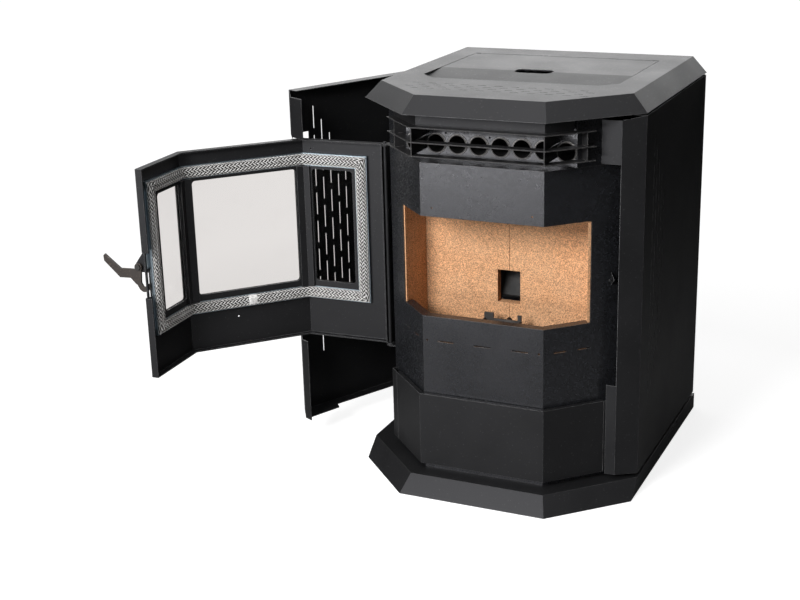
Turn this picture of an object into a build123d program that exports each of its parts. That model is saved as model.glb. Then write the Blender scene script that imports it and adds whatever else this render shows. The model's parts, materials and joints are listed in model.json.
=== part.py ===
from build123d import *
import os
from math import cos, radians, sin, sqrt, tan

# A free-standing pellet stove, in millimetres. X runs to the right seen from the front, Y runs to
# the back and Z up. The origin is the centre of the base on the floor. The stove stands as it is
# shown: its glass door and its left side panel are swung open, everything else is closed.

# ---- overall sizes -------------------------------------------------------------------------
stove_height = 889.0
base_height = 38.0
body_front_half = 139.5      # half the width of the body's flat front
facet_run = 128.5            # how far a facet of the body runs sideways and back
body_half = body_front_half + facet_run
panel_half = body_half + 52.0
base_half = panel_half
base_front_half = body_front_half + 30.5
base_front = 363.0
base_rear = 363.0
base_bevel = 34.0            # how far the base's front slopes in over its height
body_front = 283.0
body_rear = 100.0            # where the body's side walls end, in front of the centre
cabinet_rear = 350.0         # outer face of the rear panel

# ---- sheet and clearances ------------------------------------------------------------------
sheet = 2.0                  # cabinet sheet
plate = 3.0                  # welded plate
thin = 1.5                   # ducts and fan housings
seat = 0.3                   # between faces that rest or slide on one another
running = 0.05               # radial clearance of a pin or a shaft
hand_gap = 1.6               # between a moving cover and the edge beside it

# ---- heights on the front ------------------------------------------------------------------
header_top = stove_height - 146.0
opening_bottom = 400.0
opening_top = header_top - 117.0
opening_half = body_half - 50.0
skirt_bottom = 52.0
skirt_top = 220.0
skirt_out = 14.0             # the skirt stands this far out from the body
vent_height = 344.0

# ---- top plate and lid ---------------------------------------------------------------------
top_front = 293.0
top_front_half = body_front_half + 4.5
top_half = body_half + 18.0
top_rear = 355.0
top_bevel_out = 34.0
top_bevel_drop = 37.0
mouth_half = body_half - 40.0     # the filling hole
mouth_front = 88.0
mouth_rear = 270.0
mouth_corner = 38.0
lid_sheet = 2.5
lid_bend = 52.0              # behind this line the lid lies flat
lid_drop = 11.0              # how far its front edge lies lower
slot_length = 88.0
slot_width = 40.0
slot_corner = 10.0           # cut across the corners of the slot
lid_pin_radius = 1.5
knuckle_radius = 2.5
knuckles = 5
knuckle_gap = 1.0

# ---- louvre and heat tubes -----------------------------------------------------------------
fin_heights = (stove_height - 127.0, stove_height - 97.5, stove_height - 66.0)
fin_out = 27.0
fin_in = 3.0
fin_right_reach = 104.0
fin_left_reach = 122.0
fascia_out = 8.0
fascia_right_reach = 63.0
tube_wall_front = 230.0
tube_radius = 21.0
tube_wall = 2.0
tube_height = stove_height - 114.0
chamber_half = body_half - 63.0
tube_count = 8
tube_margin = 14.25          # from the outermost tube to the side of the chamber
tube_pitch = 2 * (chamber_half - tube_radius - tube_margin) / (tube_count - 1)
chamber_top = stove_height - 39.0
plenum_bottom = tube_height - 30.0
plenum_top = tube_height + 30.0
plenum_depth = 24.0

# ---- firebox -------------------------------------------------------------------------------
firebox_floor = 320.0
firebox_half = body_half - 36.0
firebox_rear = 90.0
brick = 20.0
brick_bottom = 321.0
brick_top = header_top - 8.0
brick_face_half = firebox_half - 30.0  # half the width between the side bricks at the back
chute_left = 28.0
chute_right = 26.0
chute_bottom = 392.0
chute_top = 468.0
pot_half = 44.0
pot_front = 224.0
pot_rear = 153.0
pot_wall = 4.0
pot_bottom = 285.0
pot_rim = 336.0
pot_rim_width = 6.0
pot_rim_sheet = 5.0
pot_top = 366.0
igniter_radius = 5.0
igniter_height = 350.0

# ---- door ----------------------------------------------------------------------------------
door_in = 18.0               # inner face of the door's sheet, out from the body
door_sheet = 3.0
door_bottom = 266.6
door_top = header_top - 1.0
door_hinge_reach = 196.0     # along the left facet from the body's corner
door_latch_reach = 169.0     # along the right facet
door_flange = 13.0
door_axis_x = body_half + 19.0
door_axis_y = body_front - facet_run - 14.5
door_open = 132.45           # angle from closed
rod_radius = 4.0
ear_radius = 9.0
ear_sheet = 3.0
pane_near = 15.0             # a side pane starts this far along the facet
pane_far = 119.5             # and ends here on the hinge side
pane_latch_far = 108.0
pane_bottom = 402.0
pane_top = header_top - 69.0
pane_middle_half = body_front_half - 15.5
pane_corner = 8.0
pane_cover = 5.0             # the glass reaches this far past its window
glass = 5.0
gasket_hinge_reach = 153.0
gasket_latch_reach = 145.0
gasket_width = 25.0
gasket_bottom = 361.0
gasket_top = header_top - 36.0
gasket_lip = 0.8             # between the rope and the body when the door is closed
retainer = 2.0
retainer_foot = 13.0         # foot of the angle on the latch side
retainer_lip = 10.0          # the retainers end this far out from the body

# ---- handle --------------------------------------------------------------------------------
handle_reach = 155.0         # outer face of the lever, along the right facet
handle_sheet = 5.0
handle_pivot_out = 43.0
handle_pivot_height = 517.0
handle_play = 1.0            # between the lever and its bracket
handle_boss = 9.0
bolt_radius = 4.0
bolt_head = 7.0

# ---- side panels ---------------------------------------------------------------------------
panel_rear = 349.0
panel_bend = 166.0           # the side ends here and the facet begins
panel_tab = 194.0
panel_tab_start = panel_half - 45.0
panel_upper_tab_end = panel_half - 87.0
panel_lower_tab_end = panel_half - 67.0
panel_bottom = 48.0
panel_top = stove_height - 41.0
panel_upper_tab_bottom = header_top + 4.0
panel_lower_tab_top = 258.0
panel_door_gap_bottom = 252.0
panel_door_gap_top = door_top + 1.6
panel_door_gap_front = 116.0
panel_axis_x = panel_half - 8.0
panel_axis_y = panel_rear - 5.0
panel_open = 26.1
panel_top_flange = 28.0
panel_top_mitre = 9.0        # the facet's top slopes down this far to the tab
panel_foot_flange = 48.0
panel_foot_step = 94.0
panel_foot_narrow = 28.0
panel_rear_flange = 15.0
panel_pin_radius = 3.0
hinge_ear = 8.5              # a panel's flange reaches this far past its hinge pin
vent_first = 100.0           # first column of vents, in front of the centre
vent_pitch = 22.2
vent_columns = 5
vent_length = 54.0
vent_width = 3.2
vent_step = 70.0
vent_shift = 35.0
vent_top = panel_top - 46.0
vent_count = 9

# ---- auger and hopper ----------------------------------------------------------------------
hopper_collar = 16.0
throat_half = 30.0
throat_front = 60.0          # behind the centre
throat_rear = 140.0
throat_height = 560.0
auger_angle = 30.0
auger_radius = 27.0
auger_wall = 3.0
auger_height = 497.0         # of the auger's axis below the middle of the throat
auger_front = -30.0
auger_rear = 235.0
auger_shaft = 8.0
auger_pitch = 45.0
flight_clearance = 2.0

# ---- ash drawer ----------------------------------------------------------------------------
drawer_half = body_half - 20.0
pan_half = body_front_half - 17.5
pan_bottom = 62.0
pan_top = 150.0
pan_rear = 105.0

# ---- fans and pipes ------------------------------------------------------------------------
blower_x = 150.0
blower_z = 130.0
blower_radius = 66.0
blower_outlet_left = 158.0
blower_outlet_right = 216.0
blower_top = 262.0
blower_front = 88.0
blower_rear = 24.0
exhaust_x = -130.0
exhaust_z = 190.0
exhaust_radius = 55.0
exhaust_front = 84.0
exhaust_rear = 44.0
flue_x = -205.0
flue_z = 205.0
flue_radius = 38.0           # of the end that takes the flue pipe
flue_end = 392.0
intake_radius = 25.0
intake_height = 290.0
intake_end = 380.0
pipe_step = 1.5              # the pipes are this much narrower inside the cabinet
pipe_gap = 1.0               # between the rear panel and a wide end

corner = tan(radians(22.5))  # a bay corner moves this much sideways for each unit outward


# ---- plan shapes ---------------------------------------------------------------------------
def bay_plan(front_half, front, half, rear):
    """Corners of a bay seen from above: a flat front, two facets at 45 degrees, two sides."""
    facet = half - front_half
    left = [(-half, rear), (-half, facet - front), (-front_half, -front)]
    return left + [(-x, y) for x, y in reversed(left)]


def body_plan(out, rear):
    """The body's outline, moved outward."""
    return bay_plan(body_front_half + out * corner, body_front + out, body_half + out, rear)


def bay_room(out, half, front, rear):
    """A room inside the bay: the facets' planes moved by out, closed by flat walls."""
    facet_sum = body_front_half + body_front + out * sqrt(2)
    flat = facet_sum - front
    left = [(-half, rear), (-half, half - facet_sum), (-flat, -front)]
    return left + [(-x, y) for x, y in reversed(left)]


def facet_point(side, reach, out):
    """A point beside a facet: reach runs along it from the body's front corner, out runs outward."""
    along = (reach + out) / sqrt(2)
    return side * (body_front_half + along), -body_front + (reach - out) / sqrt(2)


def bay_band(inner, outer, left_reach, right_reach):
    """Outline of a bent sheet that follows the bay between two distances from the body."""
    def run(out):
        bend = body_front_half + out * corner
        ends = facet_point(-1, left_reach, out), facet_point(1, right_reach, out)
        return [ends[0], (-bend, -body_front - out), (bend, -body_front - out), ends[1]]
    return run(inner) + run(outer)[::-1]


def facet_patch(side, near, far, inner, outer):
    """Outline of a strip along one facet."""
    return [facet_point(side, near, inner), facet_point(side, far, inner),
            facet_point(side, far, outer), facet_point(side, near, outer)]


def mirrored(side, points):
    return [(side * x, y) for x, y in points]


def box_plan(left, right, front, rear):
    return [(left, front), (right, front), (right, rear), (left, rear)]


# ---- planes --------------------------------------------------------------------------------
def hinge_turn(x, y, angle):
    """A turn about an upright axis."""
    return Location((x, y, 0)) * Location((0, 0, 0), (0, 0, angle)) * Location((-x, -y, 0))


still = Location((0, 0, 0))
door_turn = hinge_turn(-door_axis_x, -door_axis_y, -door_open)
left_turn = hinge_turn(-panel_axis_x, panel_axis_y, -panel_open)


def turned(plane, turn):
    """A plane of a hung piece, drawn closed and moved to where the piece stands."""
    return Plane(turn * plane.location)


def level(height, turn=still):
    return turned(Plane.XY.offset(height), turn)


def facet_plane(side, reach, out, height, turn=still):
    """Upright plane on a facet: X runs to the right along it, Y up and Z out of the stove."""
    x, y = facet_point(side, reach, out)
    plane = Plane(origin=(x, y, height), x_dir=(1, side, 0), z_dir=(side, -1, 0))
    return turned(plane, turn)


def front_plane(out, height, turn=still):
    plane = Plane(origin=(0, -body_front - out, height), x_dir=(1, 0, 0), z_dir=(0, -1, 0))
    return turned(plane, turn)


def edge_plane(reach, turn=still):
    """Upright plane across the right facet: X runs outward, Y up and Z back towards the front."""
    x, y = facet_point(1, reach, 0)
    return turned(Plane(origin=(x, y, 0), x_dir=(1, -1, 0), z_dir=(-1, -1, 0)), turn)


def keep(builder, name):
    builder.part.label = name
    export_step(builder.part, f"parts/{name}.step")


def prism(points, bottom, top, turn=still, mode=Mode.ADD):
    """Raise a plan outline inside the open part."""
    with BuildSketch(level(bottom, turn)) as outline:
        Polygon(*points, align=None)
    extrude(outline.sketch, amount=top - bottom, mode=mode)


os.makedirs("parts", exist_ok=True)

deck = base_height
bay_end = (body_half - body_front_half) * sqrt(2)
door_out = door_in + door_sheet
rear_wall = -firebox_rear
brick_front = rear_wall - plate - brick


# ==== base and body =========================================================================
with BuildPart() as base_pedestal:
    with BuildSketch(level(0)):
        Polygon(*bay_plan(base_front_half, base_front, base_half, base_rear), align=None)
    with BuildSketch(level(base_height)):
        Polygon(*bay_plan(base_front_half - base_bevel * corner, base_front - base_bevel,
                          base_half, base_rear), align=None)
    loft(ruled=True)
    offset(amount=-plate, openings=base_pedestal.faces().sort_by(Axis.Z)[0])
    # a rail under the middle ties the front to the back
    rail_half = 40.0
    prism(box_plan(-rail_half, rail_half, -base_front + 2 * plate, base_rear - plate / 2), 0,
          plate)
    light_slot_first, light_slot_pitch, light_slots = 100.0, 40.0, 3
    light_slot_height = base_height - 8.0
    for i in range(light_slots):
        where = (base_half, light_slot_first + i * light_slot_pitch, light_slot_height)
        with BuildSketch(Plane(origin=where, x_dir=(0, 1, 0), z_dir=(1, 0, 0))):
            SlotOverall(26.0, 3.0)
        extrude(amount=plate, both=True, mode=Mode.SUBTRACT)
keep(base_pedestal, "base_pedestal")

with BuildPart() as body_front_shell:
    prism(body_plan(0, -body_rear), deck, header_top)
    prism(body_plan(-plate, 0), deck, header_top - plate, mode=Mode.SUBTRACT)
    # the ledge above the firebox is open under the heat chamber
    prism(bay_room(-plate, chamber_half - plate, tube_wall_front - plate, 0), deck, header_top,
          mode=Mode.SUBTRACT)
    # firebox opening round the three facets
    opening_reach = (opening_half - body_front_half) * sqrt(2)
    opening = bay_band(-2 * plate, plate, opening_reach, opening_reach)
    prism(opening, opening_bottom, opening_top, mode=Mode.SUBTRACT)
    sill_depth = 22.0
    sill = bay_band(-sill_depth, 0, opening_reach, opening_reach)
    prism(sill, opening_bottom - plate, opening_bottom)
    prism(sill, opening_top, opening_top + plate)
    # passage of the ash pan
    pan_clear = 5.0
    prism(box_plan(-pan_half - pan_clear, pan_half + pan_clear, -body_front - plate,
                   -body_front + 2 * plate), pan_bottom - pan_clear, pan_top + pan_clear,
          mode=Mode.SUBTRACT)
    # two screw holes in the header and the vents under the opening
    header_hole_x, header_hole_z = body_front_half - 26.5, header_top - 98.0
    with BuildSketch(front_plane(0, header_hole_z)):
        with Locations((-header_hole_x, 0), (header_hole_x, 0)):
            Circle(2.0)
    extrude(amount=plate, both=True, mode=Mode.SUBTRACT)
    front_vents, front_vent_pitch, front_vent_length, vent_slit = 3, 86.5, 39.0, 3.0
    with BuildSketch(front_plane(0, vent_height)):
        with GridLocations(front_vent_pitch, 1, front_vents, 1):
            SlotOverall(front_vent_length, vent_slit)
        with GridLocations(front_vents * front_vent_pitch, 1, 2, 1):
            Circle(2.5)
    extrude(amount=plate, both=True, mode=Mode.SUBTRACT)
    for side in (-1, 1):
        for reach in (40.0, 97.0):
            with BuildSketch(facet_plane(side, reach, 0, vent_height)):
                SlotOverall(30.0, vent_slit)
            extrude(amount=plate, both=True, mode=Mode.SUBTRACT)
keep(body_front_shell, "body_front")

with BuildPart() as firebox:
    face = body_front - plate
    prism(bay_room(-plate, firebox_half, face, rear_wall), firebox_floor - plate,
          header_top - plate)
    prism(bay_room(-plate, firebox_half - plate, face, rear_wall - plate), firebox_floor,
          header_top, mode=Mode.SUBTRACT)
    # the front is open to the body shell
    prism(box_plan(-firebox_half + plate, firebox_half - plate, -body_front, -body_front / 2),
          firebox_floor, header_top, mode=Mode.SUBTRACT)
    # chute, igniter and the two drops for ash
    prism(box_plan(-chute_left, chute_right, rear_wall - 2 * plate, rear_wall + plate),
          chute_bottom, chute_top, mode=Mode.SUBTRACT)
    with BuildSketch(Plane(origin=(0, rear_wall, igniter_height), x_dir=(1, 0, 0),
                           z_dir=(0, -1, 0))):
        Circle(igniter_radius)
    extrude(amount=plate * 2, mode=Mode.SUBTRACT)
    ash_drop_left, ash_drop_right, ash_drop_front, ash_drop_rear = 66.0, 124.0, 215.0, 130.0
    for side in (-1, 1):
        drop = box_plan(ash_drop_left, ash_drop_right, -ash_drop_front, -ash_drop_rear)
        prism(mirrored(side, drop), firebox_floor - 2 * plate, firebox_floor + 1,
              mode=Mode.SUBTRACT)
    holder_half = pot_half + 8.0
    holder_front, holder_rear = pot_front + 8.0, pot_rear - 8.0
    prism(box_plan(-holder_half, holder_half, -holder_front, -holder_rear),
          firebox_floor - 2 * plate, firebox_floor + 1, mode=Mode.SUBTRACT)
keep(firebox, "firebox")

# ---- firebricks ----------------------------------------------------------------------------
brick_gap = 0.4
brick_outer = firebox_half - plate - seat


def cut_back_holes():
    """The chute and the igniter pass between the two back bricks."""
    prism(box_plan(-chute_left, chute_right, brick_front - 1, rear_wall), chute_bottom,
          chute_top, mode=Mode.SUBTRACT)
    with BuildSketch(Plane(origin=(0, rear_wall, igniter_height), x_dir=(1, 0, 0),
                           z_dir=(0, -1, 0))) as hole:
        Circle(igniter_radius + 2.0)
    extrude(hole.sketch, amount=2 * brick, mode=Mode.SUBTRACT)


for side, name in ((-1, "back_brick_left"), (1, "back_brick_right")):
    with BuildPart() as back_brick:
        outline = box_plan(brick_gap, brick_outer, brick_front, rear_wall - plate)
        prism(mirrored(side, outline), brick_bottom, brick_top)
        cut_back_holes()
    keep(back_brick, name)

side_brick_splay = 9.0
for side, name in ((-1, "side_brick_left"), (1, "side_brick_right")):
    with BuildPart() as side_brick:
        facet_sum = body_front_half + body_front - (plate + seat) * sqrt(2)
        front_in = brick_face_half + side_brick_splay
        outline = [(brick_face_half, brick_front - brick_gap), (brick_outer, brick_front - brick_gap),
                   (brick_outer, brick_outer - facet_sum), (front_in, front_in - facet_sum)]
        prism(mirrored(side, outline), brick_bottom, brick_top)
        sill_notch = bay_band(-sill_depth - seat, 0, bay_end, bay_end)
        for height in (opening_bottom - plate, opening_top):
            prism(sill_notch, height - seat, height + plate + seat, mode=Mode.SUBTRACT)
    keep(side_brick, name)

# ---- burn pot ------------------------------------------------------------------------------
air_box_bottom = 260.0
air_box_half = 56.0
with BuildPart() as burn_pot_holder:
    prism(box_plan(-holder_half, holder_half, -holder_front, rear_wall), air_box_bottom,
          firebox_floor - plate)
    prism(box_plan(-holder_half, holder_half, -holder_front, -holder_rear), air_box_bottom,
          pot_rim - pot_rim_sheet - seat)
    prism(box_plan(-holder_half + plate, holder_half - plate, -holder_front + plate,
                   rear_wall - plate), air_box_bottom + plate, firebox_floor - 2 * plate,
          mode=Mode.SUBTRACT)
    pot_fit = 0.7
    prism(box_plan(-pot_half - pot_fit, pot_half + pot_fit, -pot_front - pot_fit,
                   -pot_rear + pot_fit), firebox_floor - 3 * plate, pot_rim, mode=Mode.SUBTRACT)
    with BuildSketch(Plane(origin=(0, rear_wall, intake_height), x_dir=(1, 0, 0),
                           z_dir=(0, -1, 0))):
        Circle(intake_radius - pipe_step)
    extrude(amount=2 * plate, mode=Mode.SUBTRACT)
keep(burn_pot_holder, "burn_pot_holder")

with BuildPart() as burn_pot:
    pot_plan = box_plan(-pot_half, pot_half, -pot_front, -pot_rear)
    prism(pot_plan, pot_bottom, pot_top)
    prism(box_plan(-pot_half - pot_rim_width, pot_half + pot_rim_width,
                   -pot_front - pot_rim_width, -pot_rear + pot_rim_width),
          pot_rim - pot_rim_sheet, pot_rim)
    prism(box_plan(-pot_half + pot_wall, pot_half - pot_wall, -pot_front + pot_wall,
                   -pot_rear - pot_wall), pot_bottom + pot_wall, pot_top, mode=Mode.SUBTRACT)
    # two lifting lugs on the rear wall, of unlike width
    lug_height = 13.0
    for left, right in ((-pot_half, -pot_half + 22.0), (pot_half - 9.0, pot_half)):
        prism(box_plan(left, right, -pot_rear - pot_wall, -pot_rear), pot_top,
              pot_top + lug_height)
    with BuildSketch(level(pot_bottom)):
        with Locations((0, -(pot_front + pot_rear) / 2)):
            with GridLocations(18.0, 18.0, 4, 3):
                Circle(2.5)
    extrude(amount=pot_wall, mode=Mode.SUBTRACT)
    with BuildSketch(Plane(origin=(0, -pot_rear, igniter_height), x_dir=(1, 0, 0),
                           z_dir=(0, -1, 0))):
        Circle(igniter_radius + 1.0)
    extrude(amount=pot_wall, mode=Mode.SUBTRACT)
keep(burn_pot, "burn_pot")

with BuildPart() as igniter:
    igniter_rear = 60.0
    with BuildSketch(Plane(origin=(0, -igniter_rear, igniter_height), x_dir=(1, 0, 0),
                           z_dir=(0, -1, 0))):
        Circle(igniter_radius)
    extrude(amount=pot_rear - pot_rim_width - hand_gap - igniter_rear)
    with BuildSketch(Plane(origin=(0, rear_wall, igniter_height), x_dir=(1, 0, 0),
                           z_dir=(0, 1, 0))):
        Circle(igniter_radius * 2)
    extrude(amount=8.0)
keep(igniter, "igniter")

# ---- ash compartment, drawer ---------------------------------------------------------------
compartment_half = body_front_half - 2.5
collar_radius = 20.0
collar_x = plate + collar_radius + 10.0 - compartment_half
with BuildPart() as ash_compartment:
    prism(box_plan(-compartment_half, compartment_half, -body_front + plate, rear_wall), deck,
          firebox_floor - plate)
    prism(box_plan(-compartment_half + plate, compartment_half - plate, -body_front,
                   rear_wall - plate), deck, firebox_floor, mode=Mode.SUBTRACT)
    with BuildSketch(Plane(origin=(exhaust_x, rear_wall, exhaust_z), x_dir=(1, 0, 0),
                           z_dir=(0, -1, 0))):
        with Locations((-exhaust_x + collar_x, 0)):
            Circle(collar_radius)
    extrude(amount=2 * plate, mode=Mode.SUBTRACT)
    prism(box_plan(-holder_half, holder_half, rear_wall - 2 * plate, rear_wall + 1),
          air_box_bottom, firebox_floor, mode=Mode.SUBTRACT)
keep(ash_compartment, "ash_compartment")

with BuildPart() as drawer_front:
    drawer_reach = (drawer_half - body_front_half) * sqrt(2) - skirt_out
    prism(bay_band(skirt_out - sheet, skirt_out, drawer_reach, drawer_reach), skirt_bottom,
          skirt_top)
    prism(bay_band(skirt_out - 10.0, skirt_out, drawer_reach, drawer_reach),
          skirt_top - sheet, skirt_top)
keep(drawer_front, "drawer_front")

with BuildPart() as ash_pan:
    pan_front = -body_front - skirt_out + sheet
    prism(box_plan(-pan_half, pan_half, pan_front, -pan_rear), pan_bottom, pan_top)
    prism(box_plan(-pan_half + thin, pan_half - thin, pan_front + thin, -pan_rear - thin),
          pan_bottom + thin, pan_top, mode=Mode.SUBTRACT)
keep(ash_pan, "ash_pan")

with BuildPart() as drawer_runners:
    runner_x, runner_width = 100.0, 14.0
    for side in (-1, 1):
        runner = box_plan(runner_x, runner_x + runner_width, -body_front + 2 * plate, -pan_rear)
        prism(mirrored(side, runner), deck, pan_bottom - seat)
keep(drawer_runners, "drawer_runners")

strip_end = 168.0
with BuildPart() as skirt_sides:
    for side in (-1, 1):
        prism(facet_patch(side, drawer_reach + 0.8, strip_end, skirt_out - sheet, skirt_out),
              skirt_bottom, skirt_top)
        prism(facet_patch(side, strip_end - sheet, strip_end, 0, skirt_out - sheet),
              skirt_bottom, skirt_top)
keep(skirt_sides, "skirt_sides")

with BuildPart() as drawer_catches:
    catch_height, catch_length, catch_width, catch_rise = 145.0, 26.0, 10.0, 3.0
    for side in (-1, 1):
        x, y = facet_point(side, strip_end, skirt_out / 2)
        with BuildSketch(Plane(origin=(x, y, catch_height), x_dir=(0, 0, 1),
                               z_dir=(side, 1, 0))):
            SlotOverall(catch_length, catch_width)
        extrude(amount=catch_rise)
        fillet(drawer_catches.faces().sort_by(Axis((0, 0, 0), (side, 1, 0)))[-1].edges(),
               catch_rise - 0.5)
keep(drawer_catches, "drawer_catches")

# ==== heat exchanger ========================================================================
with BuildPart() as tube_plate:
    plate_top = stove_height - plate - seat
    plate_hole = 2.0             # screw holes above the tubes
    prism(bay_room(0, body_half, tube_wall_front, -body_rear), header_top, plate_top)
    prism(bay_room(-plate, body_half - plate, tube_wall_front - plate, 0), header_top, plate_top,
          mode=Mode.SUBTRACT)
    with BuildSketch(Plane(origin=(0, -tube_wall_front, tube_height), x_dir=(1, 0, 0),
                           z_dir=(0, -1, 0))):
        with GridLocations(tube_pitch, 1, tube_count, 1):
            Circle(tube_radius)
        with Locations((-2.06 * tube_pitch, tube_radius + 2.0), (0, tube_radius - 2.0)):
            Circle(plate_hole)
    extrude(amount=plate * 2, both=True, mode=Mode.SUBTRACT)
keep(tube_plate, "tube_plate")

with BuildPart() as heat_chamber:
    front = tube_wall_front - plate
    prism(bay_room(-plate, chamber_half, front, rear_wall), header_top, chamber_top)
    prism(bay_room(-plate, chamber_half - plate, front + 1, rear_wall - plate), header_top,
          chamber_top - plate, mode=Mode.SUBTRACT)
    with BuildSketch(Plane(origin=(0, rear_wall, tube_height), x_dir=(1, 0, 0),
                           z_dir=(0, -1, 0))):
        with GridLocations(tube_pitch, 1, tube_count, 1):
            Circle(tube_radius)
    extrude(amount=plate * 2, both=True, mode=Mode.SUBTRACT)
keep(heat_chamber, "heat_chamber")

with BuildPart() as heat_tubes:
    tube_proud = 3.0
    with BuildSketch(Plane(origin=(0, rear_wall, tube_height), x_dir=(1, 0, 0),
                           z_dir=(0, -1, 0))):
        with GridLocations(tube_pitch, 1, tube_count, 1):
            Circle(tube_radius)
            Circle(tube_radius - tube_wall, mode=Mode.SUBTRACT)
    extrude(amount=tube_wall_front - firebox_rear + tube_proud)
keep(heat_tubes, "heat_tubes")

duct_rear = rear_wall + plenum_depth
with BuildPart() as air_plenum:
    prism(box_plan(-chamber_half, chamber_half, rear_wall, duct_rear), plenum_bottom, plenum_top)
    prism(box_plan(-chamber_half + thin, chamber_half - thin, rear_wall - 1, duct_rear - thin),
          plenum_bottom + thin, plenum_top - thin, mode=Mode.SUBTRACT)
    prism(box_plan(blower_outlet_left + thin, blower_outlet_right - thin, rear_wall + thin,
                   duct_rear - thin), plenum_bottom - 1, plenum_bottom + 2 * thin,
          mode=Mode.SUBTRACT)
keep(air_plenum, "air_plenum")

with BuildPart() as air_duct:
    duct_neck = 330.0
    for inset, mode in ((0, Mode.ADD), (thin, Mode.SUBTRACT)):
        with BuildSketch(level(blower_top)):
            Polygon(*box_plan(blower_outlet_left + inset, blower_outlet_right - inset,
                              -blower_front + inset, -blower_rear - inset), align=None)
        with BuildSketch(level(duct_neck)):
            Polygon(*box_plan(blower_outlet_left + inset, blower_outlet_right - inset,
                              -blower_front + inset, duct_rear - inset), align=None)
        loft(ruled=True, mode=mode)
        prism(box_plan(blower_outlet_left + inset, blower_outlet_right - inset,
                       -blower_front + inset, duct_rear - inset), duct_neck, plenum_bottom,
              mode=mode)
keep(air_duct, "air_duct")

# ---- louvre --------------------------------------------------------------------------------
with BuildPart() as louvre:
    for height in fin_heights:
        prism(bay_band(fin_in, fin_out, fin_left_reach, fin_right_reach), height - sheet, height)
    strut_inset = 3.0
    strut_x = body_front_half + fin_out * corner - 2.5
    strut_reach = 85.0
    for lower, upper in zip(fin_heights, fin_heights[1:]):
        for side in (-1, 1):
            strut = box_plan(strut_x - sheet, strut_x, -body_front - fin_out + strut_inset,
                             -tube_wall_front)
            prism(mirrored(side, strut), lower, upper - sheet)
            prism(facet_patch(side, strut_reach, strut_reach + sheet, 0, fin_out - strut_inset),
                  lower, upper - sheet)
keep(louvre, "louvre")

with BuildPart() as louvre_fascia:
    fascia_reach = 125.0
    prism(bay_band(fascia_out - sheet, fascia_out, fascia_reach, fascia_right_reach),
          fin_heights[-1] + seat, plate_top)
keep(louvre_fascia, "louvre_fascia")

# ==== top plate, lid, hopper ================================================================
top_inner = stove_height - plate


def mouth_plan(gap):
    half = mouth_half - gap
    front = -mouth_front + gap
    rear = mouth_rear
    cut = mouth_corner
    return [(-half, rear), (-half, front + cut), (-half + cut, front), (half - cut, front),
            (half, front + cut), (half, rear)]


hinge_y = mouth_rear - knuckle_radius - 0.7
hinge_z = stove_height - knuckle_radius - 0.2
lid_rear = hinge_y - knuckle_radius - 0.4
hinge_line = Plane(origin=(0, hinge_y, hinge_z), x_dir=(0, 1, 0), z_dir=(1, 0, 0))
knuckle_span = 2 * (mouth_half - hand_gap - 12.0)
knuckle_length = knuckle_span / knuckles


def knuckle_row(first, bore, web_end):
    """Every second knuckle of the lid's hinge, with the web that joins it to its plate."""
    for i in range(first, knuckles, 2):
        start = -knuckle_span / 2 + i * knuckle_length + knuckle_gap / 2
        length = knuckle_length - knuckle_gap
        with BuildSketch(hinge_line.offset(start)) as knuckle:
            Circle(knuckle_radius)
            with Locations((web_end / 2, knuckle_radius / 2)):
                Rectangle(abs(web_end), knuckle_radius)
            Circle(bore, mode=Mode.SUBTRACT)
        extrude(knuckle.sketch, amount=length)


with BuildPart() as top_plate:
    with BuildSketch(level(stove_height - top_bevel_drop)):
        Polygon(*bay_plan(top_front_half + top_bevel_out * corner, top_front + top_bevel_out,
                          top_half + top_bevel_out, top_rear), align=None)
    with BuildSketch(level(stove_height)):
        Polygon(*bay_plan(top_front_half, top_front, top_half, top_rear), align=None)
    loft(ruled=True)
    offset(amount=-plate, openings=top_plate.faces().sort_by(Axis.Z)[0])
    prism(mouth_plan(0), top_inner - 1, stove_height + 1, mode=Mode.SUBTRACT)
    # rows of short slots, each row shifted by half a pitch
    top_slot_rows = 4
    top_slot_columns = 11
    top_slot_pitch = 38.0
    with BuildSketch(level(stove_height)):
        for row in range(top_slot_rows):
            shift = (row % 2) * top_slot_pitch / 2
            with Locations((-9.0 + shift, -154.0 - row * 20.0)):
                with GridLocations(top_slot_pitch, 1, top_slot_columns, 1):
                    SlotOverall(20.0, 3.0)
    extrude(amount=-2 * plate, mode=Mode.SUBTRACT)
    knuckle_row(0, lid_pin_radius, mouth_rear - hinge_y + 0.01)
keep(top_plate, "top_plate")

with BuildPart() as lid:
    front_y = -mouth_front + hand_gap
    slope_end = stove_height - 0.2 - lid_drop
    flat = stove_height - 0.2
    profile = [(lid_rear, flat), (lid_bend, flat), (front_y, slope_end),
               (front_y, slope_end - lid_sheet), (lid_bend, flat - lid_sheet),
               (lid_rear, flat - lid_sheet)]
    with BuildSketch(Plane.YZ.offset(-mouth_half)):
        Polygon(*profile, align=None)
    extrude(amount=2 * mouth_half)
    with BuildSketch(level(slope_end - 2 * lid_sheet)):
        Polygon(*mouth_plan(hand_gap), align=None)
        with Locations((-2.0, lid_bend + 3.0)):
            slot_end, slot_side_y = slot_length / 2, slot_width / 2
            quarter = [(slot_end, slot_side_y - slot_corner), (slot_end - slot_corner, slot_side_y)]
            half_slot = quarter + [(-x, y) for x, y in quarter[::-1]]
            Polygon(*half_slot, *[(-x, -y) for x, y in half_slot], align=None,
                    mode=Mode.SUBTRACT)
    extrude(amount=2 * lid_drop + lid_sheet, mode=Mode.INTERSECT)
    knuckle_row(1, lid_pin_radius + running, lid_rear - hinge_y - 0.01)
keep(lid, "lid")

with BuildPart() as lid_hinge_pin:
    with BuildSketch(hinge_line.offset(-knuckle_span / 2)):
        Circle(lid_pin_radius)
    extrude(amount=knuckle_span)
keep(lid_hinge_pin, "lid_hinge_pin")

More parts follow.
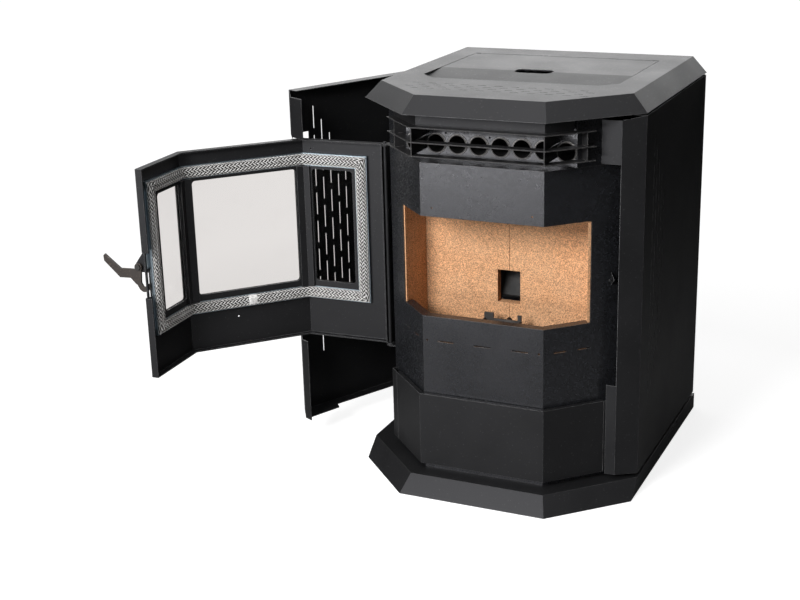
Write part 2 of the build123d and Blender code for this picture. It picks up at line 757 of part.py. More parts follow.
hopper_half = mouth_half + 4.0
hopper_front, hopper_rear = -mouth_front - 4.0, mouth_rear + 6.0
with BuildPart() as hopper:
    collar_bottom = top_inner - hopper_collar
    for grow, mode in ((sheet, Mode.ADD), (0, Mode.SUBTRACT)):
        rim = box_plan(-hopper_half - grow, hopper_half + grow, hopper_front - grow,
                       hopper_rear + grow)
        throat = box_plan(-throat_half - grow, throat_half + grow, throat_front - grow,
                          throat_rear + grow)
        prism(rim, collar_bottom, top_inner - seat, mode=mode)
        with BuildSketch(level(collar_bottom)):
            Polygon(*rim, align=None)
        with BuildSketch(level(throat_height)):
            Polygon(*throat, align=None)
        loft(ruled=True, mode=mode)
    # the lid rests on a ledge along the rear half of each side
    ledge_width = 12.0
    for side in (-1, 1):
        ledge = box_plan(hopper_half - ledge_width - 4.0, hopper_half, lid_bend + 8.0,
                         hopper_rear - 30.0)
        prism(mirrored(side, ledge), flat - lid_sheet - 2 * seat - sheet,
              flat - lid_sheet - seat)
keep(hopper, "hopper")

# ==== auger =================================================================================
throat_y = (throat_front + throat_rear) / 2
slope = tan(radians(auger_angle))


def auger_point(y):
    return 0, y, auger_height + (throat_y - y) * slope


auger_line = Plane(origin=auger_point(auger_rear), x_dir=(1, 0, 0),
                   z_dir=(0, -cos(radians(auger_angle)), sin(radians(auger_angle))))
auger_length = (auger_rear - auger_front) / cos(radians(auger_angle))
tube_outer = auger_radius + auger_wall

with BuildPart() as auger_housing:
    with BuildSketch(auger_line):
        Circle(tube_outer)
    extrude(amount=auger_length)
    prism(box_plan(-throat_half - sheet, throat_half + sheet, throat_front - sheet,
                   throat_rear + sheet), auger_height, throat_height)
    with BuildSketch(auger_line.offset(-1)):
        Circle(auger_radius)
    extrude(amount=auger_length + 2, mode=Mode.SUBTRACT)
    neck_half = auger_radius - 1.0
    prism(box_plan(-neck_half, neck_half, throat_front, throat_rear), auger_height,
          throat_height + 1, mode=Mode.SUBTRACT)
keep(auger_housing, "auger_housing")

with BuildPart() as auger:
    flight_outer = auger_radius - flight_clearance
    flight_start, flight_end = 12.0, 8.0
    turns_length = auger_length - flight_start - flight_end
    bearing_depth = 12.0
    with BuildSketch(auger_line.offset(-bearing_depth)):
        Circle(auger_shaft)
    extrude(amount=auger_length + bearing_depth - flight_end)
    flight_middle = (auger_shaft + flight_outer) / 2
    flight_plane = auger_line.offset(flight_start)
    with BuildLine(flight_plane) as flight_path:
        Helix(auger_pitch, turns_length, flight_middle, direction=auger_line.z_dir)
    flight_point = flight_path.line @ 0
    with BuildSketch(Plane(origin=flight_point, x_dir=flight_point - flight_plane.origin,
                           z_dir=flight_path.line % 0)):
        Rectangle(flight_outer - auger_shaft + 1.0, 3.0)
    sweep(path=flight_path.line, is_frenet=True)
keep(auger, "auger")

with BuildPart() as auger_motor:
    gearbox, gearbox_depth, can_radius, can_depth = 64.0, 40.0, 26.0, 34.0
    with BuildSketch(auger_line):
        Rectangle(gearbox, gearbox)
        Circle(auger_shaft + running, mode=Mode.SUBTRACT)
    extrude(amount=-bearing_depth - seat)
    with BuildSketch(auger_line.offset(-bearing_depth - seat)):
        Rectangle(gearbox, gearbox)
    extrude(amount=-gearbox_depth + bearing_depth)
    with BuildSketch(auger_line.offset(-gearbox_depth - seat)):
        Circle(can_radius)
    extrude(amount=-can_depth)
    fillet(auger_motor.edges().filter_by(GeomType.LINE).group_by(Edge.length)[-1], 3.0)
keep(auger_motor, "auger_motor")

with BuildPart() as pellet_chute:
    chute_half = chute_left + sheet
    drop_rear, drop_front, drop_top, drop_foot = -8.0, -62.0, 632.0, 520.0
    outer = [(rear_wall, chute_bottom - 4.0), (rear_wall, chute_top + 4.0),
             (drop_front, chute_top + 36.0), (drop_front, drop_top), (drop_rear, drop_top),
             (drop_rear, drop_foot)]
    with BuildSketch(Plane.YZ.offset(-chute_half)):
        Polygon(*outer, align=None)
    extrude(amount=2 * chute_half)
    with BuildSketch(Plane.YZ.offset(-chute_half + sheet)):
        Polygon(*outer, align=None)
        offset(amount=-sheet)
    extrude(amount=2 * (chute_half - sheet), mode=Mode.SUBTRACT)
    prism(box_plan(-chute_left, chute_right, rear_wall - 1, rear_wall + 3 * sheet), chute_bottom,
          chute_top, mode=Mode.SUBTRACT)
    with BuildSketch(auger_line):
        Circle(tube_outer)
    extrude(amount=auger_length, mode=Mode.SUBTRACT)
keep(pellet_chute, "pellet_chute")

# ==== fans ==================================================================================
def back_plane(x, y, z):
    """Upright plane that faces the back: X runs left, Y up and Z backward."""
    return Plane(origin=(x, y, z), x_dir=(-1, 0, 0), z_dir=(0, 1, 0))


with BuildPart() as blower_housing:
    depth = blower_front - blower_rear
    outlet_middle = (blower_outlet_left + blower_outlet_right) / 2 - blower_x
    outlet_width = blower_outlet_right - blower_outlet_left
    for inset, mode in ((0, Mode.ADD), (thin, Mode.SUBTRACT)):
        with BuildSketch(back_plane(blower_x, -blower_front + inset, blower_z)):
            Circle(blower_radius - inset)
            with Locations((-outlet_middle, (blower_top - blower_z + inset) / 2)):
                Rectangle(outlet_width - 2 * inset, blower_top - blower_z + inset)
        extrude(amount=depth - 2 * inset, mode=mode)
    eye = 38.0
    with BuildSketch(back_plane(blower_x, -blower_rear - 2 * thin, blower_z)):
        Circle(eye)
    extrude(amount=4 * thin, mode=Mode.SUBTRACT)
    prism(box_plan(blower_outlet_left, blower_outlet_right, -blower_front, -blower_rear),
          blower_top, blower_top + 3 * thin, mode=Mode.SUBTRACT)
    foot_half = 20.0
    prism(box_plan(blower_x - foot_half, blower_x + foot_half, -blower_front + 4.0,
                   -blower_rear - 4.0), deck, blower_z - blower_radius + thin / 2)
keep(blower_housing, "blower_housing")

fan_shaft = 4.0
with BuildPart() as blower_wheel:
    wheel_radius, wheel_clear, blades = 46.0, 5.0, 20
    wheel_front = -blower_front + thin + wheel_clear
    wheel_depth = blower_front - blower_rear - 2 * thin - 2 * wheel_clear
    with BuildSketch(back_plane(blower_x, wheel_front, blower_z)):
        Circle(wheel_radius)
    extrude(amount=sheet)
    with BuildSketch(back_plane(blower_x, wheel_front, blower_z)):
        with PolarLocations(wheel_radius - 6.0, blades):
            Rectangle(8.0, thin)
        Circle(10.0)
    extrude(amount=wheel_depth)
    with BuildSketch(back_plane(blower_x, wheel_front + wheel_depth - sheet, blower_z)):
        Circle(wheel_radius)
        Circle(wheel_radius - 12.0, mode=Mode.SUBTRACT)
    extrude(amount=sheet)
    with BuildSketch(back_plane(blower_x, wheel_front - 1, blower_z)):
        Circle(fan_shaft + running)
    extrude(amount=wheel_depth + 2, mode=Mode.SUBTRACT)
keep(blower_wheel, "blower_wheel")

with BuildPart() as blower_motor:
    motor_radius, motor_length, motor_stand, arms = 30.0, 58.0, 10.0, 3
    motor_face = -blower_rear + motor_stand
    with BuildSketch(back_plane(blower_x, motor_face, blower_z)):
        Circle(motor_radius)
    extrude(amount=motor_length)
    with BuildSketch(back_plane(blower_x, wheel_front + 2.0, blower_z)):
        Circle(fan_shaft)
    extrude(until=Until.NEXT, target=blower_motor.part)
    arm_reach = 56.0
    with BuildSketch(back_plane(blower_x, motor_face, blower_z)):
        with PolarLocations(arm_reach / 2, arms, start_angle=90):
            Rectangle(arm_reach, 12.0)
    extrude(amount=plate)
    with BuildSketch(back_plane(blower_x, -blower_rear, blower_z)):
        with PolarLocations(arm_reach - 6.0, arms, start_angle=90):
            Circle(6.0)
    extrude(amount=motor_stand)
keep(blower_motor, "blower_motor")

with BuildPart() as exhaust_housing:
    depth = exhaust_front - exhaust_rear
    box_left, box_right, box_low, box_high = -252.0, -150.0, 162.0, 248.0
    for inset, mode in ((0, Mode.ADD), (thin, Mode.SUBTRACT)):
        with BuildSketch(Plane(origin=(0, -exhaust_front + inset, 0), x_dir=(-1, 0, 0),
                               z_dir=(0, 1, 0))):
            with Locations((-exhaust_x, exhaust_z)):
                Circle(exhaust_radius - inset)
            box = box_plan(-box_right - 20.0, -box_left - inset, box_low + inset,
                           box_high - inset)
            Polygon(*box, align=None)
        extrude(amount=depth - 2 * inset, mode=mode)
    # collar to the ash compartment, the flue's hole and the motor's hole
    with BuildSketch(back_plane(collar_x, rear_wall, exhaust_z)):
        Circle(collar_radius)
    extrude(amount=-rear_wall - exhaust_front)
    with BuildSketch(back_plane(collar_x, rear_wall - 1, exhaust_z)):
        Circle(collar_radius - thin)
    extrude(amount=-rear_wall - exhaust_front + 2 * thin, mode=Mode.SUBTRACT)
    with BuildSketch(back_plane(flue_x, -exhaust_rear - 2 * thin, flue_z)):
        Circle(flue_radius - pipe_step - thin)
    extrude(amount=3 * thin, mode=Mode.SUBTRACT)
    with BuildSketch(back_plane(exhaust_x, -exhaust_rear - 2 * thin, exhaust_z)):
        Circle(10.0)
    extrude(amount=3 * thin, mode=Mode.SUBTRACT)
keep(exhaust_housing, "exhaust_housing")

with BuildPart() as exhaust_impeller:
    paddle_radius, paddles, impeller_clear = 42.0, 6, 4.0
    impeller_front = -exhaust_front + thin + impeller_clear
    impeller_depth = depth - 2 * thin - 2 * impeller_clear
    with BuildSketch(back_plane(exhaust_x, impeller_front + impeller_depth - sheet, exhaust_z)):
        Circle(paddle_radius)
    extrude(amount=sheet)
    with BuildSketch(back_plane(exhaust_x, impeller_front, exhaust_z)):
        Circle(9.0)
        with PolarLocations(paddle_radius / 2 + 3.0, paddles):
            Rectangle(paddle_radius - 8.0, sheet)
    extrude(amount=impeller_depth)
    with BuildSketch(back_plane(exhaust_x, impeller_front - 1, exhaust_z)):
        Circle(fan_shaft + running)
    extrude(amount=impeller_depth + 2, mode=Mode.SUBTRACT)
keep(exhaust_impeller, "exhaust_impeller")

with BuildPart() as exhaust_motor:
    with BuildSketch(back_plane(exhaust_x, -exhaust_rear, exhaust_z)):
        Circle(32.0)
    extrude(amount=62.0)
    with BuildSketch(back_plane(exhaust_x, impeller_front + 2.0, exhaust_z)):
        Circle(fan_shaft)
    extrude(amount=-exhaust_rear - impeller_front)
keep(exhaust_motor, "exhaust_motor")


def pipe(start, end, radius):
    """A pipe to the back whose end outside the rear panel is wider."""
    wide_start = cabinet_rear + pipe_gap
    with BuildSketch(start) as narrow:
        Circle(radius - pipe_step)
    extrude(narrow.sketch, amount=end - start.origin.Y)
    with BuildSketch(start.offset(wide_start - start.origin.Y)) as wide:
        Circle(radius)
    extrude(wide.sketch, amount=end - wide_start)
    with BuildSketch(start.offset(-1)) as bore:
        Circle(radius - pipe_step - thin)
    extrude(bore.sketch, amount=end - start.origin.Y + 2, mode=Mode.SUBTRACT)


with BuildPart() as flue_outlet:
    pipe(back_plane(flue_x, -exhaust_rear, flue_z), flue_end, flue_radius)
keep(flue_outlet, "flue_outlet")

with BuildPart() as air_intake:
    pipe(back_plane(0, rear_wall - plate, intake_height), intake_end, intake_radius)
keep(air_intake, "air_intake")

# ==== rear ==================================================================================
rear_half = panel_half - 19.5
inlet_x, inlet_z, inlet_width, inlet_height = -245.0, 90.0, 28.0, 24.0
with BuildPart() as rear_panel:
    rear_inner = cabinet_rear - sheet
    rear_return, rear_shoulder = 14.0, 20.0
    rear_top = top_inner - seat
    outline = [(-rear_half, deck), (-rear_half, rear_top - rear_shoulder),
               (-rear_half + rear_shoulder, rear_top)]
    with BuildSketch(Plane(origin=(0, cabinet_rear, 0), x_dir=(1, 0, 0), z_dir=(0, -1, 0))):
        Polygon(*outline, *mirrored(-1, outline[::-1]), align=None)
    extrude(amount=sheet)
    for side in (-1, 1):
        edge = box_plan(rear_half - sheet, rear_half, cabinet_rear - rear_return, cabinet_rear)
        prism(mirrored(side, edge), deck, panel_top)
        # an ear over each side panel holds its upper hinge pin
        ear = [(rear_half - 30.0, rear_inner), (rear_half - 30.0, cabinet_rear - 60.0),
               (rear_half, cabinet_rear - rear_return - 6.0),
               (panel_axis_x + 5.0, panel_axis_y - 6.0), (panel_axis_x + 5.0, panel_axis_y + 5.0),
               (rear_half, cabinet_rear)]
        prism(mirrored(side, ear), panel_top + seat, panel_top + seat + sheet)
    with BuildSketch(level(panel_top)):
        with Locations((-panel_axis_x, panel_axis_y), (panel_axis_x, panel_axis_y)):
            Circle(panel_pin_radius)
    extrude(amount=3 * sheet, mode=Mode.SUBTRACT)
    grille_rows = 9
    grille_pitch, grille_length = 14.0, 120.0
    with BuildSketch(Plane(origin=(0, cabinet_rear, 0), x_dir=(-1, 0, 0), z_dir=(0, 1, 0))):
        with Locations((-flue_x, flue_z)):
            Circle(flue_radius - pipe_step)
        with Locations((0, intake_height)):
            Circle(intake_radius - pipe_step)
        with Locations((-inlet_x, inlet_z)):
            Rectangle(inlet_width, inlet_height)
        with Locations((-blower_x, blower_z)):
            with GridLocations(1, grille_pitch, 1, grille_rows):
                SlotOverall(grille_length, 5.0)
    extrude(amount=-2 * sheet, mode=Mode.SUBTRACT)
keep(rear_panel, "rear_panel")

with BuildPart() as rear_screws:
    screw_radius = 4.5
    screw_inset, screw_pitch = 15.0, 260.0
    with BuildSketch(back_plane(0, cabinet_rear, stove_height / 2)):
        with GridLocations(2 * (rear_half - screw_inset), screw_pitch, 2, 3):
            Circle(screw_radius)
    extrude(amount=2.5, taper=25)
keep(rear_screws, "rear_screws")

with BuildPart() as control_box:
    box_width, box_deep, control_bottom, control_height = 100.0, 46.0, 470.0, 170.0
    box_reach = rear_half - 20.5
    prism(box_plan(-box_reach, box_width - box_reach, rear_inner - box_deep, rear_inner),
          control_bottom, control_bottom + control_height)
    fillet(control_box.edges().filter_by(Axis.Z).sort_by(Axis.Y)[:2], 4.0)
keep(control_box, "control_box")

with BuildPart() as power_inlet:
    with BuildSketch(back_plane(inlet_x, cabinet_rear, inlet_z)):
        RectangleRounded(inlet_width + 12.0, inlet_height + 12.0, 4.0)
    extrude(amount=3.0)
    with BuildSketch(back_plane(inlet_x, cabinet_rear, inlet_z)):
        Rectangle(inlet_width, inlet_height)
    extrude(amount=-22.0)
    with BuildSketch(back_plane(inlet_x, cabinet_rear + 3.0, inlet_z)):
        RectangleRounded(inlet_width - 5.0, inlet_height - 6.0, 3.0)
    extrude(amount=-17.0, mode=Mode.SUBTRACT)
    with BuildSketch(back_plane(inlet_x, cabinet_rear - 14.0, inlet_z)):
        with Locations((-7.0, -2.0), (0, 3.0), (7.0, -2.0)):
            Rectangle(2.0, 5.0)
    extrude(amount=11.0)
keep(power_inlet, "power_inlet")

# ==== side panels ===========================================================================
def side_panel(side, turn, door_gap):
    """A side panel with its facet and tabs; the left one is notched where the door swings."""
    run = [(panel_half, panel_rear), (panel_half, -panel_bend), (panel_tab_start, -panel_tab)]
    bend_in = panel_bend - sheet * tan(radians(15.9))
    tab_in = panel_tab - sheet
    start_in = panel_tab_start + sheet * 0.28
    side_run = [*run, (start_in, -tab_in), (panel_half - sheet, -bend_in),
                (panel_half - sheet, panel_rear)]

    def tab(end):
        return [(panel_tab_start + 1.0, -panel_tab), (end, -panel_tab), (end, -tab_in),
                (panel_tab_start + 1.0, -tab_in)]

    def foot():
        wide, narrow = panel_half - panel_foot_flange, panel_half - panel_foot_narrow
        inner = panel_half - sheet
        return [(inner, -bend_in), (start_in, -tab_in), (panel_lower_tab_end, -tab_in),
                (wide - 4.0, -tab_in + 6.0), (wide, -panel_foot_step),
                (narrow, -panel_foot_step + 10.0), (narrow, panel_rear - 20.0),
                (panel_axis_x - hinge_ear, panel_rear - 20.0),
                (panel_axis_x - hinge_ear, panel_rear - sheet), (inner, panel_rear - sheet)]

    def head():
        inner = panel_half - sheet
        narrow = panel_half - panel_top_flange
        return [(inner, -bend_in), (narrow, -bend_in), (narrow, panel_rear - 20.0),
                (panel_axis_x - hinge_ear, panel_rear - 20.0),
                (panel_axis_x - hinge_ear, panel_rear - sheet), (inner, panel_rear - sheet)]

    with BuildPart() as panel:
        prism(mirrored(side, side_run), panel_bottom, panel_top, turn)
        prism(mirrored(side, box_plan(panel_half - panel_rear_flange, panel_half,
                                      panel_rear - sheet, panel_rear)),
              panel_bottom, panel_top, turn)
        prism(mirrored(side, tab(panel_upper_tab_end)), panel_upper_tab_bottom, panel_top, turn)
        prism(mirrored(side, tab(panel_lower_tab_end)), panel_bottom, panel_lower_tab_top, turn)
        prism(mirrored(side, foot()), panel_bottom, panel_bottom + sheet, turn)
        prism(mirrored(side, head()), panel_top - sheet, panel_top, turn)
        wedge_plane = turned(Plane(origin=(0, 0, 0), x_dir=(0, 1, 0), z_dir=(1, 0, 0)), turn)
        with BuildSketch(wedge_plane):
            Polygon((-panel_bend, panel_top), (-panel_tab - 1, panel_top - panel_top_mitre),
                    (-panel_tab - 1, panel_top + 1), (-panel_bend, panel_top + 1), align=None)
        extrude(amount=panel_half + 1, both=True, mode=Mode.SUBTRACT)
        if door_gap:
            gap = box_plan(panel_lower_tab_end - 20.0, panel_half + 1, -panel_tab - 1,
                           -panel_door_gap_front)
            prism(mirrored(side, gap), panel_door_gap_bottom, panel_door_gap_top, turn,
                  Mode.SUBTRACT)
        with BuildSketch(level(0, turn)):
            with Locations((side * panel_axis_x, panel_axis_y)):
                Circle(panel_pin_radius + running)
        extrude(amount=stove_height, mode=Mode.SUBTRACT)
        upright = turned(Plane(origin=(side * panel_half, 0, 0), x_dir=(0, 1, 0),
                               z_dir=(1, 0, 0)), turn)
        with BuildSketch(upright):
            for column in range(vent_columns):
                for row in range(vent_count - column):
                    top = vent_top - column * vent_shift - row * vent_step
                    with Locations((-vent_first + column * vent_pitch, top - vent_length / 2)):
                        SlotOverall(vent_length, vent_width, rotation=90)
        extrude(amount=2 * sheet, both=True, mode=Mode.SUBTRACT)
    return panel


keep(side_panel(-1, left_turn, True), "left_panel")
keep(side_panel(1, still, False), "right_panel")

with BuildPart() as panel_hinge_pins:
    collar_radius = 6.0
    pin_end = 12.0
    ear_height = panel_top + seat
    spots = ((-panel_axis_x, panel_axis_y), (panel_axis_x, panel_axis_y))
    for radius, low, high in ((collar_radius, deck, panel_bottom - seat),
                              (panel_pin_radius, deck, panel_bottom + pin_end),
                              (panel_pin_radius, panel_top - pin_end, ear_height + sheet)):
        with BuildSketch(level(low)):
            with Locations(*spots):
                Circle(radius)
        extrude(amount=high - low)
keep(panel_hinge_pins, "panel_hinge_pins")

# ==== door ==================================================================================
def windows(depth_in, depth_out, grow, corner_radius):
    """Cut the three windows through a layer of the door."""
    height = (pane_bottom + pane_top) / 2
    tall = pane_top - pane_bottom + 2 * grow
    with BuildSketch(front_plane(depth_in - 1, height, door_turn)) as window:
        RectangleRounded(2 * (pane_middle_half + grow), tall, corner_radius)
    extrude(window.sketch, amount=depth_out - depth_in + 2, mode=Mode.SUBTRACT)
    for side, far in ((-1, pane_far), (1, pane_latch_far)):
        middle = (pane_near + far) / 2
        with BuildSketch(facet_plane(side, middle, depth_in - 1, height, door_turn)) as window:
            RectangleRounded(far - pane_near + 2 * grow, tall, corner_radius)
        extrude(window.sketch, amount=depth_out - depth_in + 2, mode=Mode.SUBTRACT)


def door_ring(inner, outer, grow, width):
    """A frame that follows the bay, as wide all round; grow is measured from the rope's edge."""
    reaches = gasket_hinge_reach + grow, gasket_latch_reach + grow
    holes = [reach - width for reach in reaches]
    prism(bay_band(inner, outer, *reaches), gasket_bottom - grow, gasket_top + grow, door_turn)
    prism(bay_band(inner - 1, outer + 1, *holes), gasket_bottom - grow + width,
          gasket_top + grow - width, door_turn, Mode.SUBTRACT)


flange_in = door_in - door_flange
with BuildPart() as door_skin:
    reaches = (door_hinge_reach, door_latch_reach)
    prism(bay_band(door_in, door_out, *reaches), door_bottom, door_top, door_turn)
    prism(bay_band(flange_in, door_out, *reaches), door_bottom, door_bottom + ear_sheet,
          door_turn)
    prism(bay_band(flange_in, door_out, *reaches), door_top - ear_sheet, door_top, door_turn)
    prism(facet_patch(1, door_latch_reach - door_sheet, door_latch_reach, flange_in, door_out),
          door_bottom, door_top, door_turn)
    prism(facet_patch(-1, door_hinge_reach - door_sheet, door_hinge_reach, flange_in, door_out),
          door_bottom, door_top, door_turn)
    # an ear at the top and the bottom reaches the hinge rod
    axis = (-door_axis_x, -door_axis_y)
    ear = [facet_point(-1, door_hinge_reach, flange_in), facet_point(-1, door_hinge_reach, door_out - 6.0),
           (axis[0] - ear_radius, axis[1]), (axis[0] + ear_radius * 0.6, axis[1])]
    for bottom in (door_bottom, door_top - ear_sheet):
        with BuildSketch(level(bottom, door_turn)):
            Polygon(*ear, align=None)
            with Locations(axis):
                Circle(ear_radius)
        extrude(amount=ear_sheet)
    with BuildSketch(level(0, door_turn)):
        with Locations(axis):
            Circle(rod_radius + running)
    extrude(amount=stove_height, mode=Mode.SUBTRACT)
    windows(door_in, door_out, 0, pane_corner)
    # slot for the hook of the lever, a notch in the flange beside it and two small screw holes
    slot_side = 1.5
    hook_low, hook_high = 450.0, 510.0
    prism(facet_patch(1, handle_reach - handle_sheet - slot_side, handle_reach + slot_side,
                      door_in - 1, door_out + 1), hook_low, hook_high, door_turn, Mode.SUBTRACT)
    notch_low, notch_high = 452.0, 556.0
    prism(facet_patch(1, door_latch_reach - 2 * door_sheet, door_latch_reach + 1, flange_in - 1,
                      door_out + 1), notch_low, notch_high, door_turn, Mode.SUBTRACT)
    screw_hole = 2.2
    low_screw_x, low_screw_z = 31.0, 335.0
    high_screw_reach, high_screw_z = 12.0, door_top - 24.0
    with BuildSketch(front_plane(door_in - 1, low_screw_z, door_turn)):
        with Locations((low_screw_x, 0)):
            Circle(screw_hole)
    extrude(amount=2 * door_sheet, mode=Mode.SUBTRACT)
    with BuildSketch(facet_plane(-1, high_screw_reach, door_in - 1, high_screw_z, door_turn)):
        Circle(screw_hole)
    extrude(amount=2 * door_sheet, mode=Mode.SUBTRACT)
keep(door_skin, "door_skin")

glass_out = door_in - 0.2
glass_in = glass_out - glass
for side, pane_end, name in ((-1, pane_far, "door_glass_left"),
                             (1, pane_latch_far, "door_glass_right")):
    with BuildPart() as door_glass:
        near, far = pane_near - 2.0, pane_end + pane_cover / 2
        prism(facet_patch(side, near, far, glass_in, glass_out), pane_bottom - pane_cover,
              pane_top + pane_cover, door_turn)
    keep(door_glass, name)

with BuildPart() as door_glass_middle:
    half = pane_middle_half + pane_cover
    prism(box_plan(-half, half, -body_front - glass_out, -body_front - glass_in),
          pane_bottom - pane_cover, pane_top + pane_cover, door_turn)
keep(door_glass_middle, "door_glass_middle")

frame_gap = 0.5
frame_out = glass_in - 0.2
frame_in = frame_out - 3.0
with BuildPart() as glass_frame:
    inset = gasket_width + retainer + frame_gap
    prism(bay_band(frame_in, frame_out, gasket_hinge_reach - inset, gasket_latch_reach - inset),
          gasket_bottom + inset, gasket_top - inset, door_turn)
    windows(frame_in, frame_out, -1.0, pane_corner)
keep(glass_frame, "glass_frame")

with BuildPart() as glass_posts:
    post_low, post_high = gasket_bottom + inset, gasket_top - inset
    post_in = frame_in - 6.0
    post_near = pane_near - 2.0
    middle_edge = pane_middle_half + 1.0
    for side in (-1, 1):
        bend_in = body_front_half + post_in * corner
        bend_out = body_front_half + frame_in * corner
        post = [(side * middle_edge, -body_front - frame_in),
                (side * bend_out, -body_front - frame_in),
                facet_point(side, post_near, frame_in), facet_point(side, post_near, post_in),
                (side * bend_in, -body_front - post_in), (side * middle_edge, -body_front - post_in)]
        prism(post, post_low, post_high, door_turn)
keep(glass_posts, "glass_posts")

with BuildPart() as gasket_channel:
    door_ring(retainer_lip, door_in, retainer, retainer)
    door_ring(retainer_lip, door_in, -gasket_width, retainer)
    # the outer retainer is an angle on the latch side, with a gap for the lever's hook
    foot_bottom, foot_top, hook_room = gasket_bottom + 12.0, gasket_top - 17.0, 8.0
    for low, high in ((foot_bottom, hook_low - hook_room), (hook_high + hook_room, foot_top)):
        prism(facet_patch(1, gasket_latch_reach + 0.5, gasket_latch_reach + retainer_foot,
                          door_in - retainer, door_in), low, high, door_turn)
keep(gasket_channel, "gasket_channel")

with BuildPart() as door_gasket:
    door_ring(gasket_lip, door_in - seat, -seat, gasket_width - 2 * seat)
keep(door_gasket, "door_gasket")

# ---- hinge ---------------------------------------------------------------------------------
bracket_sheet = 3.0
with BuildPart() as hinge_brackets:
    reach_in = body_half
    for bottom in (door_top + 2 * seat, door_bottom - 2 * seat - bracket_sheet):
        with BuildSketch(level(bottom)):
            with Locations((-door_axis_x, -door_axis_y)):
                Circle(ear_radius)
            Polygon(*box_plan(-door_axis_x, -reach_in, -door_axis_y - ear_radius,
                              -door_axis_y + ear_radius), align=None)
            with Locations((-door_axis_x, -door_axis_y)):
                Circle(rod_radius, mode=Mode.SUBTRACT)
        extrude(amount=bracket_sheet)
keep(hinge_brackets, "hinge_brackets")

with BuildPart() as door_hinge_rod:
    rod_over = 3.0
    rod_low = door_bottom - 2 * seat - bracket_sheet - rod_over
    rod_high = door_top + 2 * seat + bracket_sheet + rod_over
    with BuildSketch(level(rod_low)):
        with Locations((-door_axis_x, -door_axis_y)):
            Circle(rod_radius)
    extrude(amount=rod_high - rod_low)
    chamfer(door_hinge_rod.edges().sort_by(Axis.Z)[-1], 1.0)
keep(door_hinge_rod, "door_hinge_rod")

# ---- handle --------------------------------------------------------------------------------
def pivot_plane(reach):
    """Upright plane across the right facet with its origin on the lever's pivot."""
    x, y = facet_point(1, reach, handle_pivot_out)
    return turned(Plane(origin=(x, y, handle_pivot_height), x_dir=(1, -1, 0),
                        z_dir=(-1, -1, 0)), door_turn)


with BuildPart() as door_handle:
    with BuildSketch(pivot_plane(handle_reach)):
        # the zigzag arm, from its tip to the boss round the pivot
        Polygon((83.0, 24.0), (87.0, 20.0), (86.0, 8.0), (48.0, -27.0), (21.0, -26.0),
                (7.0, -40.0), (-3.0, -5.0), (17.0, -5.0), (45.0, -6.0), align=None)
        Circle(handle_boss)
        # the hook curls up below the slot in the door
        Polygon((7.0, -37.0), (-1.0, -51.0), (-9.0, -56.0), (-19.0, -55.0), (-27.0, -47.0),
                (-26.0, -36.0), (-21.0, -37.0), (-18.0, -44.0), (-10.0, -44.0), (-5.0, -35.0),
                (-7.0, -5.0), (7.0, 0.0), align=None)
        Circle(bolt_radius + running, mode=Mode.SUBTRACT)
    extrude(amount=handle_sheet)
keep(door_handle, "door_handle")

bracket_near = handle_reach - handle_sheet - handle_play
with BuildPart() as handle_bracket:
    bracket_up, bracket_down, bracket_tip = 48.0, 12.0, 9.0
    with BuildSketch(pivot_plane(bracket_near)):
        foot = door_out - handle_pivot_out
        Polygon((foot, bracket_up), (foot, -bracket_down), (0, -bracket_down),
                (bracket_tip, -bracket_down + 8.0), (bracket_tip - 1.0, 7.0), align=None)
        Circle(bolt_radius, mode=Mode.SUBTRACT)
    extrude(amount=bracket_sheet)
keep(handle_bracket, "handle_bracket")

with BuildPart() as handle_bolt:
    head_high, nut_high = 3.2, 4.0
    with BuildSketch(pivot_plane(handle_reach + seat)):
        RegularPolygon(bolt_head, 6)
    extrude(amount=-head_high)
    with BuildSketch(pivot_plane(handle_reach + seat)):
        Circle(bolt_radius)
    extrude(amount=seat + handle_sheet + handle_play + bracket_sheet + nut_high)
    with BuildSketch(pivot_plane(bracket_near - bracket_sheet)):
        RegularPolygon(bolt_head, 6)
    extrude(amount=nut_high)
keep(handle_bolt, "handle_bolt")

with BuildPart() as latch_striker:
    striker_out, striker_height, striker_radius = 10.0, 493.0, 2.5
    striker_far, striker_foot = handle_reach + 6.0, 14.0
    with BuildSketch(edge_plane(striker_far)):
        Polygon((0, striker_height - striker_foot), (striker_out, striker_height - 4.0),
                (striker_out + 4.0, striker_height), (striker_out, striker_height + 4.0),
                (0, striker_height + striker_foot), align=None)
    extrude(amount=sheet)
    with BuildSketch(edge_plane(striker_far)):
        with Locations((striker_out, striker_height)):
            Circle(striker_radius)
    extrude(amount=handle_sheet + 7.0)
keep(latch_striker, "latch_striker")
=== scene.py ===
"""Dresses a packed pellet stove: paints, bricks, rope seal, welds and a pale studio."""
import json
from math import cos, pi, radians, sin, tan

import bmesh
import bpy
from mathutils import Matrix, Vector


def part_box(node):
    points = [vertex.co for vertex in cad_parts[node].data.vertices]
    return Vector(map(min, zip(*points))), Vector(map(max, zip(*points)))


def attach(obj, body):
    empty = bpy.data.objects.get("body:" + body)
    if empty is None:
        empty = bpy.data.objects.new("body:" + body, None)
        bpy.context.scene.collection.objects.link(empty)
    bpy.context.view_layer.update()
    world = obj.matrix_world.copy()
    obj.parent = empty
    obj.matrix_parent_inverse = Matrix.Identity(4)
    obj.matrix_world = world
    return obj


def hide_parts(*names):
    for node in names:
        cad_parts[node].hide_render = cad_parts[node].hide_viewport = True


bl_info = {
    "name": "Pellet Stove Dressing",
    "version": (1, 0, 0),
    "blender": (4, 5, 0),
    "location": "View3D > Sidebar > Stove",
    "description": "Gives a pellet stove its paint, bricks, rope seal and studio",
    "category": "Object",
}

